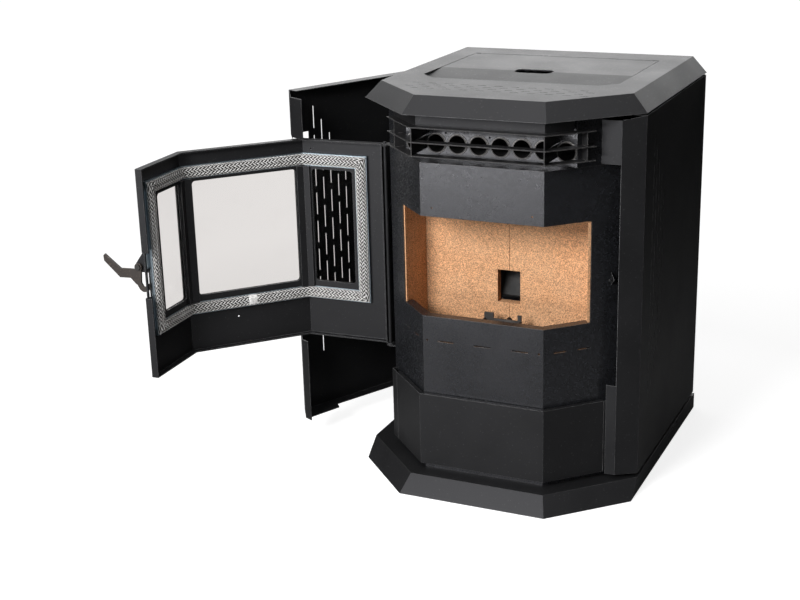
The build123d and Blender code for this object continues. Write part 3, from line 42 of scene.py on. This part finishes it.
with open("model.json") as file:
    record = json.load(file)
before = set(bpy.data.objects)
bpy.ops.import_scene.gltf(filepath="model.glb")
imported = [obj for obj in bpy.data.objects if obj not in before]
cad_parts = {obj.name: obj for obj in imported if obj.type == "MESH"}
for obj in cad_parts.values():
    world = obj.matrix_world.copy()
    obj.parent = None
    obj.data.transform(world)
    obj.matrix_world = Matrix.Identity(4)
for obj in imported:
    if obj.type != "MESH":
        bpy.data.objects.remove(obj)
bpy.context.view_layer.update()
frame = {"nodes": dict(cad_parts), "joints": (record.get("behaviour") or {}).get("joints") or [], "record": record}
MM = 0.001
finishes = {}


# ---- shader expressions --------------------------------------------------------------------
class Wire:
    """A value in a node tree. Python's operators on it add Math nodes."""

    def __init__(self, nodes, socket):
        self.nodes, self.socket = nodes, socket

    def math(self, operation, first, second):
        return self.nodes.node("ShaderNodeMath", {"operation": operation}, (first, second))

    def __add__(self, other):
        return self.math("ADD", self, other)

    def __sub__(self, other):
        return self.math("SUBTRACT", self, other)

    def __rsub__(self, other):
        return self.math("SUBTRACT", other, self)

    def __mul__(self, other):
        return self.math("MULTIPLY", self, other)

    __radd__, __rmul__ = __add__, __mul__

    def at_most(self, other):
        return self.math("MINIMUM", self, other)

    def clipped(self, low, high):
        """Zero at low, one at high and straight between."""
        return self.nodes.node("ShaderNodeMapRange", {"clamp": True},
                               {"Value": self, "From Min": low, "From Max": high})


class Nodes:
    """A node tree, with the nodes that finishes are made of."""

    def __init__(self, tree):
        self.tree = tree

    def node(self, kind, settings=None, values=(), output=0):
        """Add a node: its settings come first, then values or links for its sockets."""
        made = self.tree.nodes.new(kind)
        for key, value in (settings or {}).items():
            setattr(made, key, value)
        pairs = values.items() if isinstance(values, dict) else enumerate(values)
        for key, value in pairs:
            self.give(made.inputs[key], value)
        return Wire(self, made.outputs[output])

    def give(self, socket, value):
        if isinstance(value, Wire):
            self.tree.links.new(value.socket, socket)
        elif socket.type == "RGBA" and len(value) == 3:
            socket.default_value = (*value, 1)
        else:
            socket.default_value = value

    # patterns
    def place(self):
        return self.node("ShaderNodeTexCoord", output="Object")

    def noise(self, scale, detail=2.0, rough=0.5, at=None):
        return self.node("ShaderNodeTexNoise", {},
                         {"Vector": at or self.place(), "Scale": scale, "Detail": detail,
                          "Roughness": rough})

    def grains(self, scale, output="Distance"):
        """Small cells: how far it is to a cell's middle, or the cell's own colour."""
        return self.node("ShaderNodeTexVoronoi", {}, {"Vector": self.place(), "Scale": scale},
                         output)

    def chances(self, scale):
        """Three random values for each grain."""
        return self.split(self.grains(scale, "Color"))

    # colours and vectors
    def tint(self, factor, first, second):
        """Mix two colours."""
        mix = self.node("ShaderNodeMix", {"data_type": "RGBA"}).socket.node
        for socket, value in ((0, factor), (6, first), (7, second)):
            self.give(mix.inputs[socket], value)
        return Wire(self, mix.outputs[2])

    def split(self, vector):
        made = self.node("ShaderNodeSeparateXYZ", {}, (vector,)).socket.node
        return [Wire(self, out) for out in made.outputs]

    def stretched(self, x, y, z):
        """The place, scaled by its own factor each way."""
        return self.node("ShaderNodeVectorMath", {"operation": "MULTIPLY"},
                         (self.place(), (x, y, z)))

    # edges and relief
    def eased(self, radius):
        """The normal with the edges of sheet metal rounded off."""
        return self.node("ShaderNodeBevel", {"samples": 4}, {"Radius": radius})

    def edge(self, radius):
        """One on an edge, zero away from it."""
        flat = self.node("ShaderNodeNewGeometry", output="Normal")
        across = self.node("ShaderNodeVectorMath", {"operation": "DOT_PRODUCT"},
                           (self.eased(radius), flat), "Value")
        return (1 - across).clipped(0.03, 0.28)

    def bump(self, height, distance, strength, normal=None):
        values = {"Height": height, "Distance": distance, "Strength": strength}
        if normal:
            values["Normal"] = normal
        return self.node("ShaderNodeBump", {}, values)

    # rays
    def ray(self, about):
        """What is known of the ray that meets the surface."""
        return self.node("ShaderNodeLightPath", output=about)

    def seen_directly(self):
        """One for rays that show the background: from the camera or through a pane."""
        unreflected = 1 - self.ray("Glossy Depth").at_most(1.0)
        through = self.ray("Is Transmission Ray") * unreflected
        return (self.ray("Is Camera Ray") + through).at_most(1.0)


class Finish(Nodes):
    """A material, whose nodes feed one shader."""

    def __init__(self, name, **constants):
        self.material = finishes[name] = bpy.data.materials.new(name)
        self.material.use_nodes = True
        super().__init__(self.material.node_tree)
        self.shader = self.tree.nodes["Principled BSDF"]
        self.feed(**constants)

    def feed(self, **values):
        for socket, value in values.items():
            self.give(self.shader.inputs[socket.replace("_", " ")], value)


def times(colour, factor):
    return [min(1, part * factor) for part in colour]


def grey(value):
    return (value, value, value)


# ---- finishes ------------------------------------------------------------------------------
# the first colour is near-black painted shade, for the bricks' foot and the rope's gaps; the second is the dull
# grey of edges that are partly worn and partly a painted highlight
SHADE_BLACK, DULL_WEAR_AND_HIGHLIGHT = (0.012, 0.01, 0.009), (0.16, 0.155, 0.15)


def sheet_paint(name, colour, rough, flake, flake_colour, worn, wear_and_highlight=0.75, gloss=0.3,
                cloud_scale=7.0, grit_scale=620.0, grit=0.35):
    """Sprayed stove paint: fine grit, clouded gloss, pale edges that are partly wear and partly a painted
    highlight, and some bright flake.
    """
    paint = Finish(name, Specular_IOR_Level=gloss, Specular_Tint=(0.95, 0.95, 1.0))
    clouds = paint.noise(cloud_scale, 4.0, 0.6)
    base = paint.tint(clouds.clipped(0.3, 0.75), times(colour, 0.8), times(colour, 1.15))
    spark = paint.chances(520.0)[0].clipped(1 - flake, 1 - flake * 0.4)
    base = paint.tint(spark * 0.6, base, flake_colour)
    # pale scuffed edges: partly real wear, partly a painted highlight along the sheet's edges
    scuffs_and_highlight = paint.edge(0.0012) * paint.noise(90.0, 3.0, 0.7).clipped(0.25, 0.55)
    base = paint.tint(scuffs_and_highlight * wear_and_highlight, base, worn)
    grains = paint.noise(grit_scale, 3.0, 0.7)
    paint.feed(Base_Color=base,
               Roughness=rough + (clouds - 0.5) * 0.16 + spark * -0.12,
               Normal=paint.bump(grains, 0.00025, grit, paint.eased(0.0009)))
    return paint.material


def firebrick(colour, dark):
    """Pressed vermiculite: granular and clouded, with dark flakes, and painted shade at its foot, where the
    front's slots look into the unlit bottom of the firebox.
    """
    brick = Finish("Firebrick", Specular_IOR_Level=0.15)
    base = brick.tint(brick.chances(680.0)[0], times(colour, 0.52), times(colour, 1.6))
    clouds = brick.noise(14.0, 3.0, 0.6).clipped(0.35, 0.7)
    base = brick.tint(clouds * 0.2, base, (0.72, 0.5, 0.32))

    flake_scale = 560.0
    flaked = brick.chances(flake_scale)[1].clipped(0.78, 0.84)
    inside = 1 - brick.grains(flake_scale).clipped(0.3, 0.6)
    base = brick.tint(flaked * inside * 0.85, base, dark)

    # painted shade at the bricks' foot: the first mask darkens them below a height, the second rises towards the
    # lower front, up to just below what the sill shows, so that what the front's slots show is black
    _, back, height = brick.split(brick.node("ShaderNodeNewGeometry", output="Position"))
    for unshaded in (height.clipped(0.31, 0.332), (height + back * 0.38).clipped(0.297, 0.301)):
        base = brick.tint((1 - unshaded) * 0.97, base, SHADE_BLACK)

    fine, pits = brick.noise(700.0, 3.0, 0.7), brick.grains(330.0)
    brick.feed(Base_Color=base, Roughness=0.86 + fine * 0.1,
               Normal=brick.bump(pits * 0.7 + fine * 0.5, 0.0012, 0.7, brick.eased(0.0015)))
    return brick.material


def bare_metal(name, colour, rough, brushed=(60.0, 60.0, 900.0), stain=(0.2, 0.19, 0.18),
               stained=0.25):
    """Uncoated metal with a drawn grain and dull stains."""
    metal = Finish(name, Metallic=1.0)
    drawn = metal.noise(1.0, 3.0, 0.6, metal.stretched(*brushed))
    clouds = metal.noise(16.0, 4.0, 0.65)
    base = metal.tint(clouds.clipped(0.45, 0.75) * stained, colour, stain)
    base = metal.tint(drawn * 0.3, base, times(colour, 0.7))
    metal.feed(Base_Color=base, Roughness=rough + (drawn - 0.5) * 0.14 + clouds * 0.1,
               Normal=metal.bump(drawn, 0.0002, 0.25, metal.eased(0.0006)))
    return metal.material


def cast_iron(name, colour):
    """Rough iron with patches of ash."""
    iron = Finish(name, Metallic=0.35)
    lumps = iron.noise(160.0, 5.0, 0.7)
    ash = iron.noise(30.0, 4.0, 0.7).clipped(0.5, 0.75)
    iron.feed(Base_Color=iron.tint(ash * 0.35, colour, (0.2, 0.19, 0.18)),
              Roughness=0.62 + lumps * 0.25,
              Normal=iron.bump(lumps, 0.0012, 0.6, iron.eased(0.0015)))
    return iron.material


def moulded(name, colour, rough):
    """Moulded plastic with a fine grain."""
    plastic = Finish(name)
    grain, clouds = plastic.noise(900.0, 2.0, 0.6), plastic.noise(9.0, 3.0, 0.5)
    plastic.feed(Base_Color=plastic.tint(clouds, colour, times(colour, 1.35)),
                 Roughness=rough + clouds * 0.1,
                 Normal=plastic.bump(grain, 0.0002, 0.4, plastic.eased(0.001)))
    return plastic.material


def pane_glass(name, colour):
    """Tinted glass with faint smears, which bends light less than real glass does."""
    glass = Finish(name, Transmission_Weight=1.0, IOR=1.12)
    smear = glass.noise(11.0, 4.0, 0.6).clipped(0.5, 0.8)
    glass.feed(Base_Color=glass.tint(smear * 0.4, colour, times(colour, 0.93)),
               Roughness=0.015 + smear * 0.03)
    return glass.material


def rope_yarn(name, colour, worn):
    """Glass-fibre yarn, silver-white with dull patches, and painted shade with some dirt where its depth is one:
    where it dips under the crossing yarns and along its edges.
    """
    yarn = Finish(name, Metallic=0.1, Specular_IOR_Level=0.4)
    fibre = yarn.noise(1900.0, 2.0, 0.6)
    base = yarn.tint(fibre * 0.5 + yarn.chances(420.0)[0] * 0.4, times(colour, 0.75),
                     times(colour, 1.2))
    dull = yarn.noise(60.0, 4.0, 0.7).clipped(0.42, 0.7)
    base = yarn.tint(dull * worn, base, (0.17, 0.14, 0.12))
    depth = yarn.node("ShaderNodeAttribute", {"attribute_name": "depth"}, output="Fac")
    # painted shade, with some dirt, where a yarn dips under the crossing yarns and along its edges
    base = yarn.tint(depth * 0.98, base, SHADE_BLACK)
    yarn.feed(Base_Color=base, Roughness=0.45 + fibre * 0.25,
              Normal=yarn.bump(fibre, 0.0005, 0.6))
    return yarn.material


# ---- what a user may change ----------------------------------------------------------------
COLOUR = dict(subtype="COLOR", size=3, min=0, max=1)


class StovePaints(bpy.types.PropertyGroup):
    """Colours of the painted sheet"""
    cabinet: bpy.props.FloatVectorProperty(
        name="Cabinet", description="Paint of the cabinet, door and base",
        default=(0.0085, 0.0085, 0.009), **COLOUR)
    body: bpy.props.FloatVectorProperty(
        name="Body", description="Speckled paint of the body behind the door",
        default=(0.007, 0.0072, 0.008), **COLOUR)
    fins: bpy.props.FloatVectorProperty(
        name="Fins", description="Paint of the louvre's fins",
        default=(0.017, 0.0168, 0.0175), **COLOUR)
    roughness: bpy.props.FloatProperty(
        name="Roughness", description="How matt the paint is", default=0.46, min=0.1, max=1,
        subtype="FACTOR")


class StoveLining(bpy.types.PropertyGroup):
    """Firebrick, rope and glass"""
    brick: bpy.props.FloatVectorProperty(
        name="Brick", description="Colour of the firebricks", default=(0.6, 0.32, 0.165),
        **COLOUR)
    speck: bpy.props.FloatVectorProperty(
        name="Specks", description="Dark flakes in the bricks", default=(0.13, 0.07, 0.04),
        **COLOUR)
    rope: bpy.props.FloatVectorProperty(
        name="Rope", description="Colour of the rope seal", default=(0.95, 0.93, 0.9),
        **COLOUR)
    pane: bpy.props.FloatVectorProperty(
        name="Panes", description="Tint of the door's glass", default=(0.72, 0.695, 0.68),
        **COLOUR)


class StoveRope(bpy.types.PropertyGroup):
    """Build of the braided rope"""
    yarns: bpy.props.IntProperty(
        name="Yarns", description="Yarns that run each way round, an even number", default=12,
        min=4, max=24)
    lay: bpy.props.FloatProperty(
        name="Lay", description="Length of rope in which a yarn goes once round",
        default=0.106, min=0.02, max=0.2, unit="LENGTH")
    relief: bpy.props.FloatProperty(
        name="Relief", description="How far a yarn rises over the one it crosses",
        default=0.0013, min=0, max=0.003, unit="LENGTH")


class StoveStudio(bpy.types.PropertyGroup):
    """Camera and lamps"""
    lens: bpy.props.FloatProperty(
        name="Lens", description="Focal length", default=64.569, min=10, max=300,
        unit="CAMERA")
    key: bpy.props.FloatProperty(
        name="Key lamp", description="Power of the lamp in front", default=190.0, min=0,
        max=2000, unit="POWER")
    rear: bpy.props.FloatProperty(
        name="Rear lamp", description="Power of the lamp above the back", default=58.0, min=0,
        max=2000, unit="POWER")
    ambient: bpy.props.FloatProperty(
        name="Ambient", description="Strength of the light from all round", default=0.07,
        min=0, max=2, subtype="FACTOR")


# ---- meshes --------------------------------------------------------------------------------
def piece(name, body, material, make):
    """Make a mesh piece with bmesh, in millimetres, that rides on a body."""
    built = bmesh.new()
    make(built)
    bmesh.ops.recalc_face_normals(built, faces=built.faces)
    bmesh.ops.scale(built, vec=(MM, MM, MM), verts=built.verts)
    mesh = bpy.data.meshes.new(name)
    built.to_mesh(mesh)
    built.free()
    mesh.polygons.foreach_set("use_smooth", [True] * len(mesh.polygons))
    mesh.materials.append(material)
    made = bpy.data.objects.new(name, mesh)
    bpy.context.scene.collection.objects.link(made)
    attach(made, body)
    return made


def skin(built, rings, loop=True, depth=None):
    """Join closed rings of points by quads; depth gives each point a value for its material."""
    if depth:
        layer = built.verts.layers.float.get("depth") or built.verts.layers.float.new("depth")
    grid = [[built.verts.new(point) for point in ring] for ring in rings]
    if depth:
        for ring, values in zip(grid, depth):
            for vert, value in zip(ring, values):
                vert[layer] = value
    for i in range(len(grid) if loop else len(grid) - 1):
        here, there = grid[i], grid[(i + 1) % len(grid)]
        for j in range(len(here)):
            k = (j + 1) % len(here)
            built.faces.new((here[j], here[k], there[k], there[j]))


def circle(count):
    """Angles at even steps once round."""
    return [2 * pi * k / count for k in range(count)]


# ---- the door's bay ------------------------------------------------------------------------
HINGE = next(joint for joint in frame["joints"] if joint["name"] == "door_hinge")
DOOR_AXIS = Vector((HINGE["pos_m"][0] / MM, HINGE["pos_m"][1] / MM, 0))
DOOR_OPEN = radians(-HINGE["range_deg"][1])
FRONT = -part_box("body_front")[0].y / MM  # from the stove's middle to its front face
FRONT_HALF = 139.5  # half the width of the front's middle facet
BEND, EASE = radians(45), 2.0  # between the facets; how far from the corner the arc starts


def hung(point):
    """A point of the closed door, moved to the open door."""
    return Matrix.Rotation(DOOR_OPEN, 3, "Z") @ (Vector(point) - DOOR_AXIS) + DOOR_AXIS


def bay_point(run, height, out):
    """A point on the bay, run along it from the middle, with an arc at each bend."""
    side = 1 if run >= 0 else -1
    radius = EASE / tan(BEND / 2)
    start, arc = FRONT_HALF - EASE, radius * BEND
    flat = min(abs(run), start)
    angle = min(max(abs(run) - start, 0), arc) / radius
    beyond = max(abs(run) - start - arc, 0)
    x = flat + radius * sin(angle) + beyond * cos(angle)
    y = radius * (1 - cos(angle)) + beyond * sin(angle)
    return hung((side * (x + out * sin(angle)), y - FRONT - out * cos(angle), height))


# ---- operators -----------------------------------------------------------------------------
class Dressing:
    """What the stove's operators share"""
    bl_options = {"REGISTER", "UNDO"}


class STOVE_OT_paint(Dressing, bpy.types.Operator):
    """Make the finishes and put them on the stove's own pieces"""
    bl_idname = "stove.paint"
    bl_label = "Paint and materials"

    def execute(self, context):
        paints, lining = context.scene.stove_paints, context.scene.stove_lining
        rough = paints.roughness
        black = sheet_paint("Cabinet_Paint", paints.cabinet, rough, flake=0.012,
                            flake_colour=(0.04, 0.04, 0.042), worn=(0.3, 0.3, 0.305))
        by_slot = {
            "body_paint": black,
            "header_paint": sheet_paint(
                "Body_Paint", paints.body, rough - 0.13, flake=0.35,
                flake_colour=(0.032, 0.034, 0.04), worn=DULL_WEAR_AND_HIGHLIGHT, gloss=0.6,
                cloud_scale=9.8, grit_scale=330.0, grit=0.8),
            "fin_paint": sheet_paint(
                "Fin_Paint", paints.fins, rough - 0.06, flake=0.03,
                flake_colour=(0.07, 0.065, 0.06), worn=(0.36, 0.35, 0.34), wear_and_highlight=0.65,
                gloss=0.18, cloud_scale=14.0),
            "motor_case": sheet_paint(
                "Motor_Enamel", (0.06, 0.06, 0.064), 0.4, flake=0.02,
                flake_colour=grey(0.1), worn=DULL_WEAR_AND_HIGHLIGHT),
            "firebrick": firebrick(lining.brick, lining.speck),
            "pane": pane_glass("Pane", lining.pane),
            "rope": rope_yarn("Rope_Yarn", lining.rope, 0.4),
            "zinc": bare_metal("Zinc", (0.34, 0.41, 0.46), 0.32, stained=0.4),
            "galvanised": bare_metal("Galvanised", (0.5, 0.52, 0.53), 0.42, grey(30.0)),
            "tube_steel": bare_metal("Heated_Steel", (0.085, 0.083, 0.082), 0.5,
                                     stain=(0.05, 0.045, 0.04), stained=0.6),
            "fastener": bare_metal("Plated_Bolt", grey(0.62), 0.25, stained=0.2),
            "pot_iron": cast_iron("Pot_Iron", (0.045, 0.04, 0.037)),
            "black_plastic": moulded("Moulded_Plastic", (0.014, 0.014, 0.015), 0.5),
        }
        # pieces that look unlike the rest of their slot
        own = {
            "louvre_fascia": black,
            "door_handle": sheet_paint(
                "Lever_Paint", (0.034, 0.028, 0.024), 0.45, flake=0.1,
                flake_colour=(0.1, 0.075, 0.055), worn=(0.3, 0.27, 0.24), cloud_scale=21.0),
            "handle_bolt": bare_metal("Black_Bolt", (0.06, 0.058, 0.056), 0.42),
            # the chute is painted near-black: it stands for the shade inside its mouth
            "pellet_chute": bare_metal("Chute_Shade_Black", grey(0.022), 0.5),
            "firebox": bare_metal("Sooted_Steel", (0.045, 0.043, 0.043), 0.55),
        }
        # for the pieces that the other operators make
        bare_metal("Weld_Steel", (0.36, 0.35, 0.34), 0.45, grey(200.0))
        # the rope's filling is painted near-black: it stands for the shade in the gaps of the braid
        rope_yarn("Rope_Core_Shade", (0.014, 0.012, 0.011), 0.3)

        for entry in frame["record"]["subparts"]:
            shown = frame["nodes"].get(entry["node"])
            if shown is None:
                raise RuntimeError(f"no node {entry['node']}")
            finish = by_slot[entry["material_slot"]]
            shown.data.materials.clear()
            shown.data.materials.append(own.get(entry["node"], finish))
        return {"FINISHED"}


class STOVE_OT_rope(Dressing, bpy.types.Operator):
    """Braid the rope seal into its channel on the door"""
    bl_idname = "stove.rope"
    bl_label = "Braided rope seal"

    # millimetres on the unrolled bay: the rope's centre line, and how far out it lies
    left, right, low, high, out = 280.0, 272.0, 373.5, 694.5, 9.6
    half_width, half_depth, step = 11.3, 7.0, 3.1
    squareness = 2.6  # of the section: 2 is an oval, and more is squarer
    # a yarn's section: shares of half its width, and heights in millimetres
    yarn_section = ((-1, -0.9), (-0.45, 0.6), (0.45, 0.6), (1, -0.9))
    yarn_share = 0.31  # half a yarn's width over the yarns' spacing
    core_inset = 0.8
    # the wrap's sections: steps from the rope's joint, and heights over the rope
    wrap = ((-4, 0.2), (-3, 1.1), (-1, 1.5), (1, 1.2), (2, 1.5), (3, 0.2))
    wrap_crumple = 0.35

    def route(self):
        """Centre line at even steps: run along the bay, height, heading and shear."""
        corners = [Vector((self.right, self.high)), Vector((-self.left, self.high)),
                   Vector((-self.left, self.low)), Vector((self.right, self.low))]
        points = []
        for i, start in enumerate(corners):
            along = corners[(i + 1) % len(corners)] - start
            length, heading = along.length, pi * (1 + i / 2)
            count = int(length / self.step)
            for k in range(count):
                gone = length * k / count
                # sections lean over near a corner, so that the rope is mitred there
                shear = (max(0, 1 - (length - gone) / self.half_width)
                         - max(0, 1 - gone / self.half_width))
                points.append((*(start + along * k / count), heading, shear))
        return points

    def surface(self, at, around, grow):
        """A point on the rope's rounded square section."""
        run, height, heading, shear = at
        c, s, power = cos(around), sin(around), self.squareness
        square = (abs(c) ** power + abs(s) ** power) ** (-1 / power)
        across = (self.half_width + grow) * c * square
        depth = (self.half_depth + grow) * s * square
        return bay_point(run + across * (sin(heading) + shear * cos(heading)),
                         height + across * (shear * sin(heading) - cos(heading)),
                         self.out + depth)

    def yarn(self, built, path, build, way, k):
        """One yarn: over two yarns of the other way, then under two."""
        spacing, rise = 2 * pi / build.yarns, build.relief / MM
        turns = max(1, round(len(path) * self.step / (build.lay / MM)))
        rings, depth = [], []
        for i, at in enumerate(path):
            turned = way * 2 * pi * turns * i / len(path)
            lift = way * cos(pi * k + turned * build.yarns / 2 - pi / 4)
            sunk = min(1, max(0, 0.5 - 0.8 * lift))
            rings.append([self.surface(at, spacing * (k + side * self.yarn_share) + turned,
                                       lift * rise + height)
                          for side, height in self.yarn_section])
            # depth is one where the yarn dips under the crossing yarn and at its edges; the yarn's material paints
            # shade there
            depth.append([max(sunk, abs(side) ** 3) for side, _ in self.yarn_section])
        skin(built, rings, depth=depth)

    def execute(self, context):
        build, path = context.scene.stove_rope, self.route()

        def core(built):
            """Filling under the yarns, painted near-black as the shade in the braid's gaps."""
            skin(built, [[self.surface(at, around, -self.core_inset)
                          for around in circle(16)] for at in path])

        def braid(built):
            for way in (1, -1):
                for k in range(build.yarns):
                    self.yarn(built, path, build, way, k)

        def joint(built):
            """A wrap of tape where the rope's ends meet, in the middle of the lower run."""
            def off_middle(i):
                run, height, _, _ = path[i]
                return abs(run) + abs(height - self.low)

            start = min(range(len(path)), key=off_middle)
            rings = []
            for i, height in self.wrap:
                rings.append([self.surface(path[start + i], around,
                                           height + self.wrap_crumple * sin(5 * j + i))
                              for j, around in enumerate(circle(18))])
            skin(built, rings, loop=False)

        rope = piece("rope_seal", "door", finishes["Rope_Yarn"], braid)
        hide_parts("door_gasket")
        # the near-black filling is painted shade between the yarns
        piece("rope_core_shade", "door", finishes["Rope_Core_Shade"], core)
        piece("rope_joint", "door", finishes["Rope_Yarn"], joint)
        return {"FINISHED"}


class STOVE_OT_welds(Dressing, bpy.types.Operator):
    """Weld beads round the mouths of the heat tubes"""
    bl_idname = "stove.welds"
    bl_label = "Tube welds"

    tubes, radius = 8, 21.0  # how many, and millimetres
    thickness, ripple = 1.5, 0.5  # of the bead, and how strongly it ripples
    gap = 0.4  # from the tube to the bead's middle

    def bead(self, centre, phase):
        """Rings of one rippled bead round a tube's mouth."""
        rings = []
        for angle in circle(56):
            wobble = 0.35 * sin(angle * 17 + phase) + 0.2 * sin(angle * 29 + 2 * phase)
            size = self.thickness + wobble * self.ripple
            ring = []
            for turn in circle(6):
                reach = self.radius + self.gap + size * cos(turn)
                proud = 0.3 + size * max(0, sin(turn)) * 0.9
                ring.append(centre + Vector((reach * cos(angle), -proud,
                                             reach * sin(angle))))
            rings.append(ring)
        return rings

    def execute(self, context):
        low, high = (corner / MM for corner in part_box("heat_tubes"))
        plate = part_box("tube_plate")[0].y / MM
        first = low.x + self.radius
        pitch = (high.x - self.radius - first) / (self.tubes - 1)

        def beads(built):
            for i in range(self.tubes):
                centre = Vector((first + pitch * i, plate, (low.z + high.z) / 2))
                skin(built, self.bead(centre, i))

        piece("tube_welds", "stove", finishes["Weld_Steel"], beads)
        return {"FINISHED"}


class STOVE_OT_stage(Dressing, bpy.types.Operator):
    """Pale floor, soft lamps and the camera"""
    bl_idname = "stove.stage"
    bl_label = "Studio"

    def show(self, name, data):
        """Put a new object into the scene."""
        made = bpy.data.objects.new(name, data)
        bpy.context.scene.collection.objects.link(made)
        return made

    def lamp(self, name, place, aim, size, power):
        data = bpy.data.lights.new(name, "AREA")
        data.shape, data.size, data.size_y = "RECTANGLE", size[0], size[1]
        data.energy = power
        made = self.show(name, data)
        made.location = place
        made.rotation_mode = "QUATERNION"
        made.rotation_quaternion = (Vector(aim) - Vector(place)).to_track_quat("-Z", "Y")

    def flag(self, name, cloth, place, along, size):
        """An upright black board beside the stove that the camera doesn't see."""
        half, up = Vector(along) * size[0] / 2, Vector((0, 0, size[1] / 2))
        mesh = bpy.data.meshes.new(name)
        mesh.from_pydata([-half - up, half - up, half + up, -half + up], [], [(0, 1, 2, 3)])
        mesh.materials.append(cloth)
        made = self.show(name, mesh)
        made.location = place
        made.visible_camera = made.visible_transmission = False

    def floor(self):
        """Paper that shows white, shades by the stove and goes dark out of reach."""
        paper = Finish("Floor_Paper", Roughness=0.9, Specular_IOR_Level=0.1,
                       Emission_Strength=1.0)
        away = paper.node("ShaderNodeVectorMath", {"operation": "LENGTH"}, (paper.place(),),
                          "Value")
        near = paper.tint(paper.noise(3.0), grey(0.5), grey(0.52))
        near = paper.tint(paper.ray("Is Glossy Ray"), near, grey(0.24))
        glow = paper.tint(away.clipped(1.0, 2.0), grey(0.78), grey(1.0))
        paper.feed(Base_Color=paper.tint(away.clipped(0.8, 2.0), near, grey(0.1)),
                   Emission_Color=paper.tint(paper.seen_directly(), grey(0.0), glow))
        built = bmesh.new()
        bmesh.ops.create_grid(built, x_segments=8, y_segments=8, size=14.0)
        mesh = bpy.data.meshes.new("floor")
        built.to_mesh(mesh)
        built.free()
        mesh.materials.append(paper.material)
        ground = self.show("floor", mesh)
        ground.location.z = -0.0005

    def sky(self, ambient):
        """White where the camera, a pane or a reflection shows it, and dim as a light."""
        world = bpy.context.scene.world = bpy.data.worlds.new("studio")
        world.use_nodes = True
        sky = Nodes(world.node_tree)
        around = sky.tree.nodes["Background"]
        around.inputs["Color"].default_value = (*grey(1), 1)
        shown = (sky.seen_directly() + sky.ray("Is Glossy Ray")).at_most(1.0)
        sky.give(around.inputs["Strength"], shown * (1 - ambient) + ambient)

    def camera(self, lens):
        """The photograph's camera, from the stove's edges in it."""
        turn, tilt, roll = 0.436975, 0.320149, -0.0269726
        eye = Vector((1.07655, -3.00149, 1.42406))
        camera = self.show("camera", bpy.data.cameras.new("camera"))
        camera.data.sensor_width, camera.data.lens = 36.0, lens
        camera.data.clip_start, camera.data.clip_end = 0.1, 60.0
        ahead = Vector((-sin(turn) * cos(tilt), cos(turn) * cos(tilt), -sin(tilt)))
        right = Vector((cos(turn), sin(turn), 0))
        up = right.cross(ahead)
        across = right * cos(roll) + up * sin(roll)
        upward = up * cos(roll) - right * sin(roll)
        axes = Matrix((across, upward, -ahead)).transposed()
        camera.matrix_world = Matrix.Translation(eye) @ axes.to_4x4()
        bpy.context.scene.camera = camera

    def execute(self, context):
        studio = context.scene.stove_studio
        context.scene.view_settings.view_transform = "Standard"
        self.floor()
        self.sky(studio.ambient)

        # place, aim and size in metres, and power in watts
        self.lamp("key", (-0.95, -3.7, 2.3), (0, 0, 0.5), (1.5, 1.3), studio.key)
        self.lamp("card", (-1.25, -3.4, 0.25), (0, -0.3, 0.6), (1.6, 0.4), 26.0)
        self.lamp("side", (-3.6, 2.4, 2.6), (0, 0, 0.9), (2.5, 1.2), 3.0)
        self.lamp("overhead", (-0.1, -0.5, 3.2), (0.1, -0.2, 0.8), (4.4, 2.0), 40.0)
        self.lamp("rear", (-1.5, 4.0, 1.7), (0, 0, 0.9), (6.0, 1.5), studio.rear)

        cloth = Finish("Flag_Cloth", Roughness=1.0, Specular_IOR_Level=0.0)
        cloth.feed(Base_Color=cloth.tint(cloth.noise(40.0), grey(0.004), grey(0.007)))
        # place, direction of its foot, and size in metres
        self.flag("flag_right", cloth.material, (1.9, 0.6, 1.5), (0, -1, 0), (4.0, 3.0))
        self.flag("flag_back", cloth.material, (1.5, 2.9, 0.6), (-1, 0, 0), (2.2, 1.2))
        self.flag("flag_left", cloth.material, (-2.2, 1.0, 0.75), (0, 1, 0), (2.8, 1.5))

        self.camera(studio.lens)
        return {"FINISHED"}


class STOVE_PT_panel(bpy.types.Panel):
    """Lists the stove's settings and operators"""
    bl_label = "Pellet stove"
    bl_idname = "STOVE_PT_panel"
    bl_space_type = "VIEW_3D"
    bl_region_type = "UI"
    bl_category = "Stove"

    def draw(self, context):
        for group in SETTINGS:
            settings, box = getattr(context.scene, group), self.layout.box()
            for name in settings.bl_rna.properties.keys():
                if name not in ("rna_type", "name"):
                    box.prop(settings, name)
        for operator in OPERATORS:
            self.layout.operator(operator.bl_idname)


SETTINGS = {"stove_paints": StovePaints, "stove_lining": StoveLining, "stove_rope": StoveRope,
            "stove_studio": StoveStudio}
OPERATORS = (STOVE_OT_stage, STOVE_OT_paint, STOVE_OT_rope, STOVE_OT_welds)


def register():
    for name, group in SETTINGS.items():
        bpy.utils.register_class(group)
        setattr(bpy.types.Scene, name, bpy.props.PointerProperty(type=group))
    for operator in OPERATORS:
        bpy.utils.register_class(operator)
    bpy.utils.register_class(STOVE_PT_panel)


def unregister():
    bpy.utils.unregister_class(STOVE_PT_panel)
    for operator in reversed(OPERATORS):
        bpy.utils.unregister_class(operator)
    for name, group in SETTINGS.items():
        delattr(bpy.types.Scene, name)
        bpy.utils.unregister_class(group)


def main():
    register()
    bpy.ops.stove.stage()
    bpy.ops.stove.paint()
    bpy.ops.stove.rope()
    bpy.ops.stove.welds()


if __name__ == "__main__":
    main()
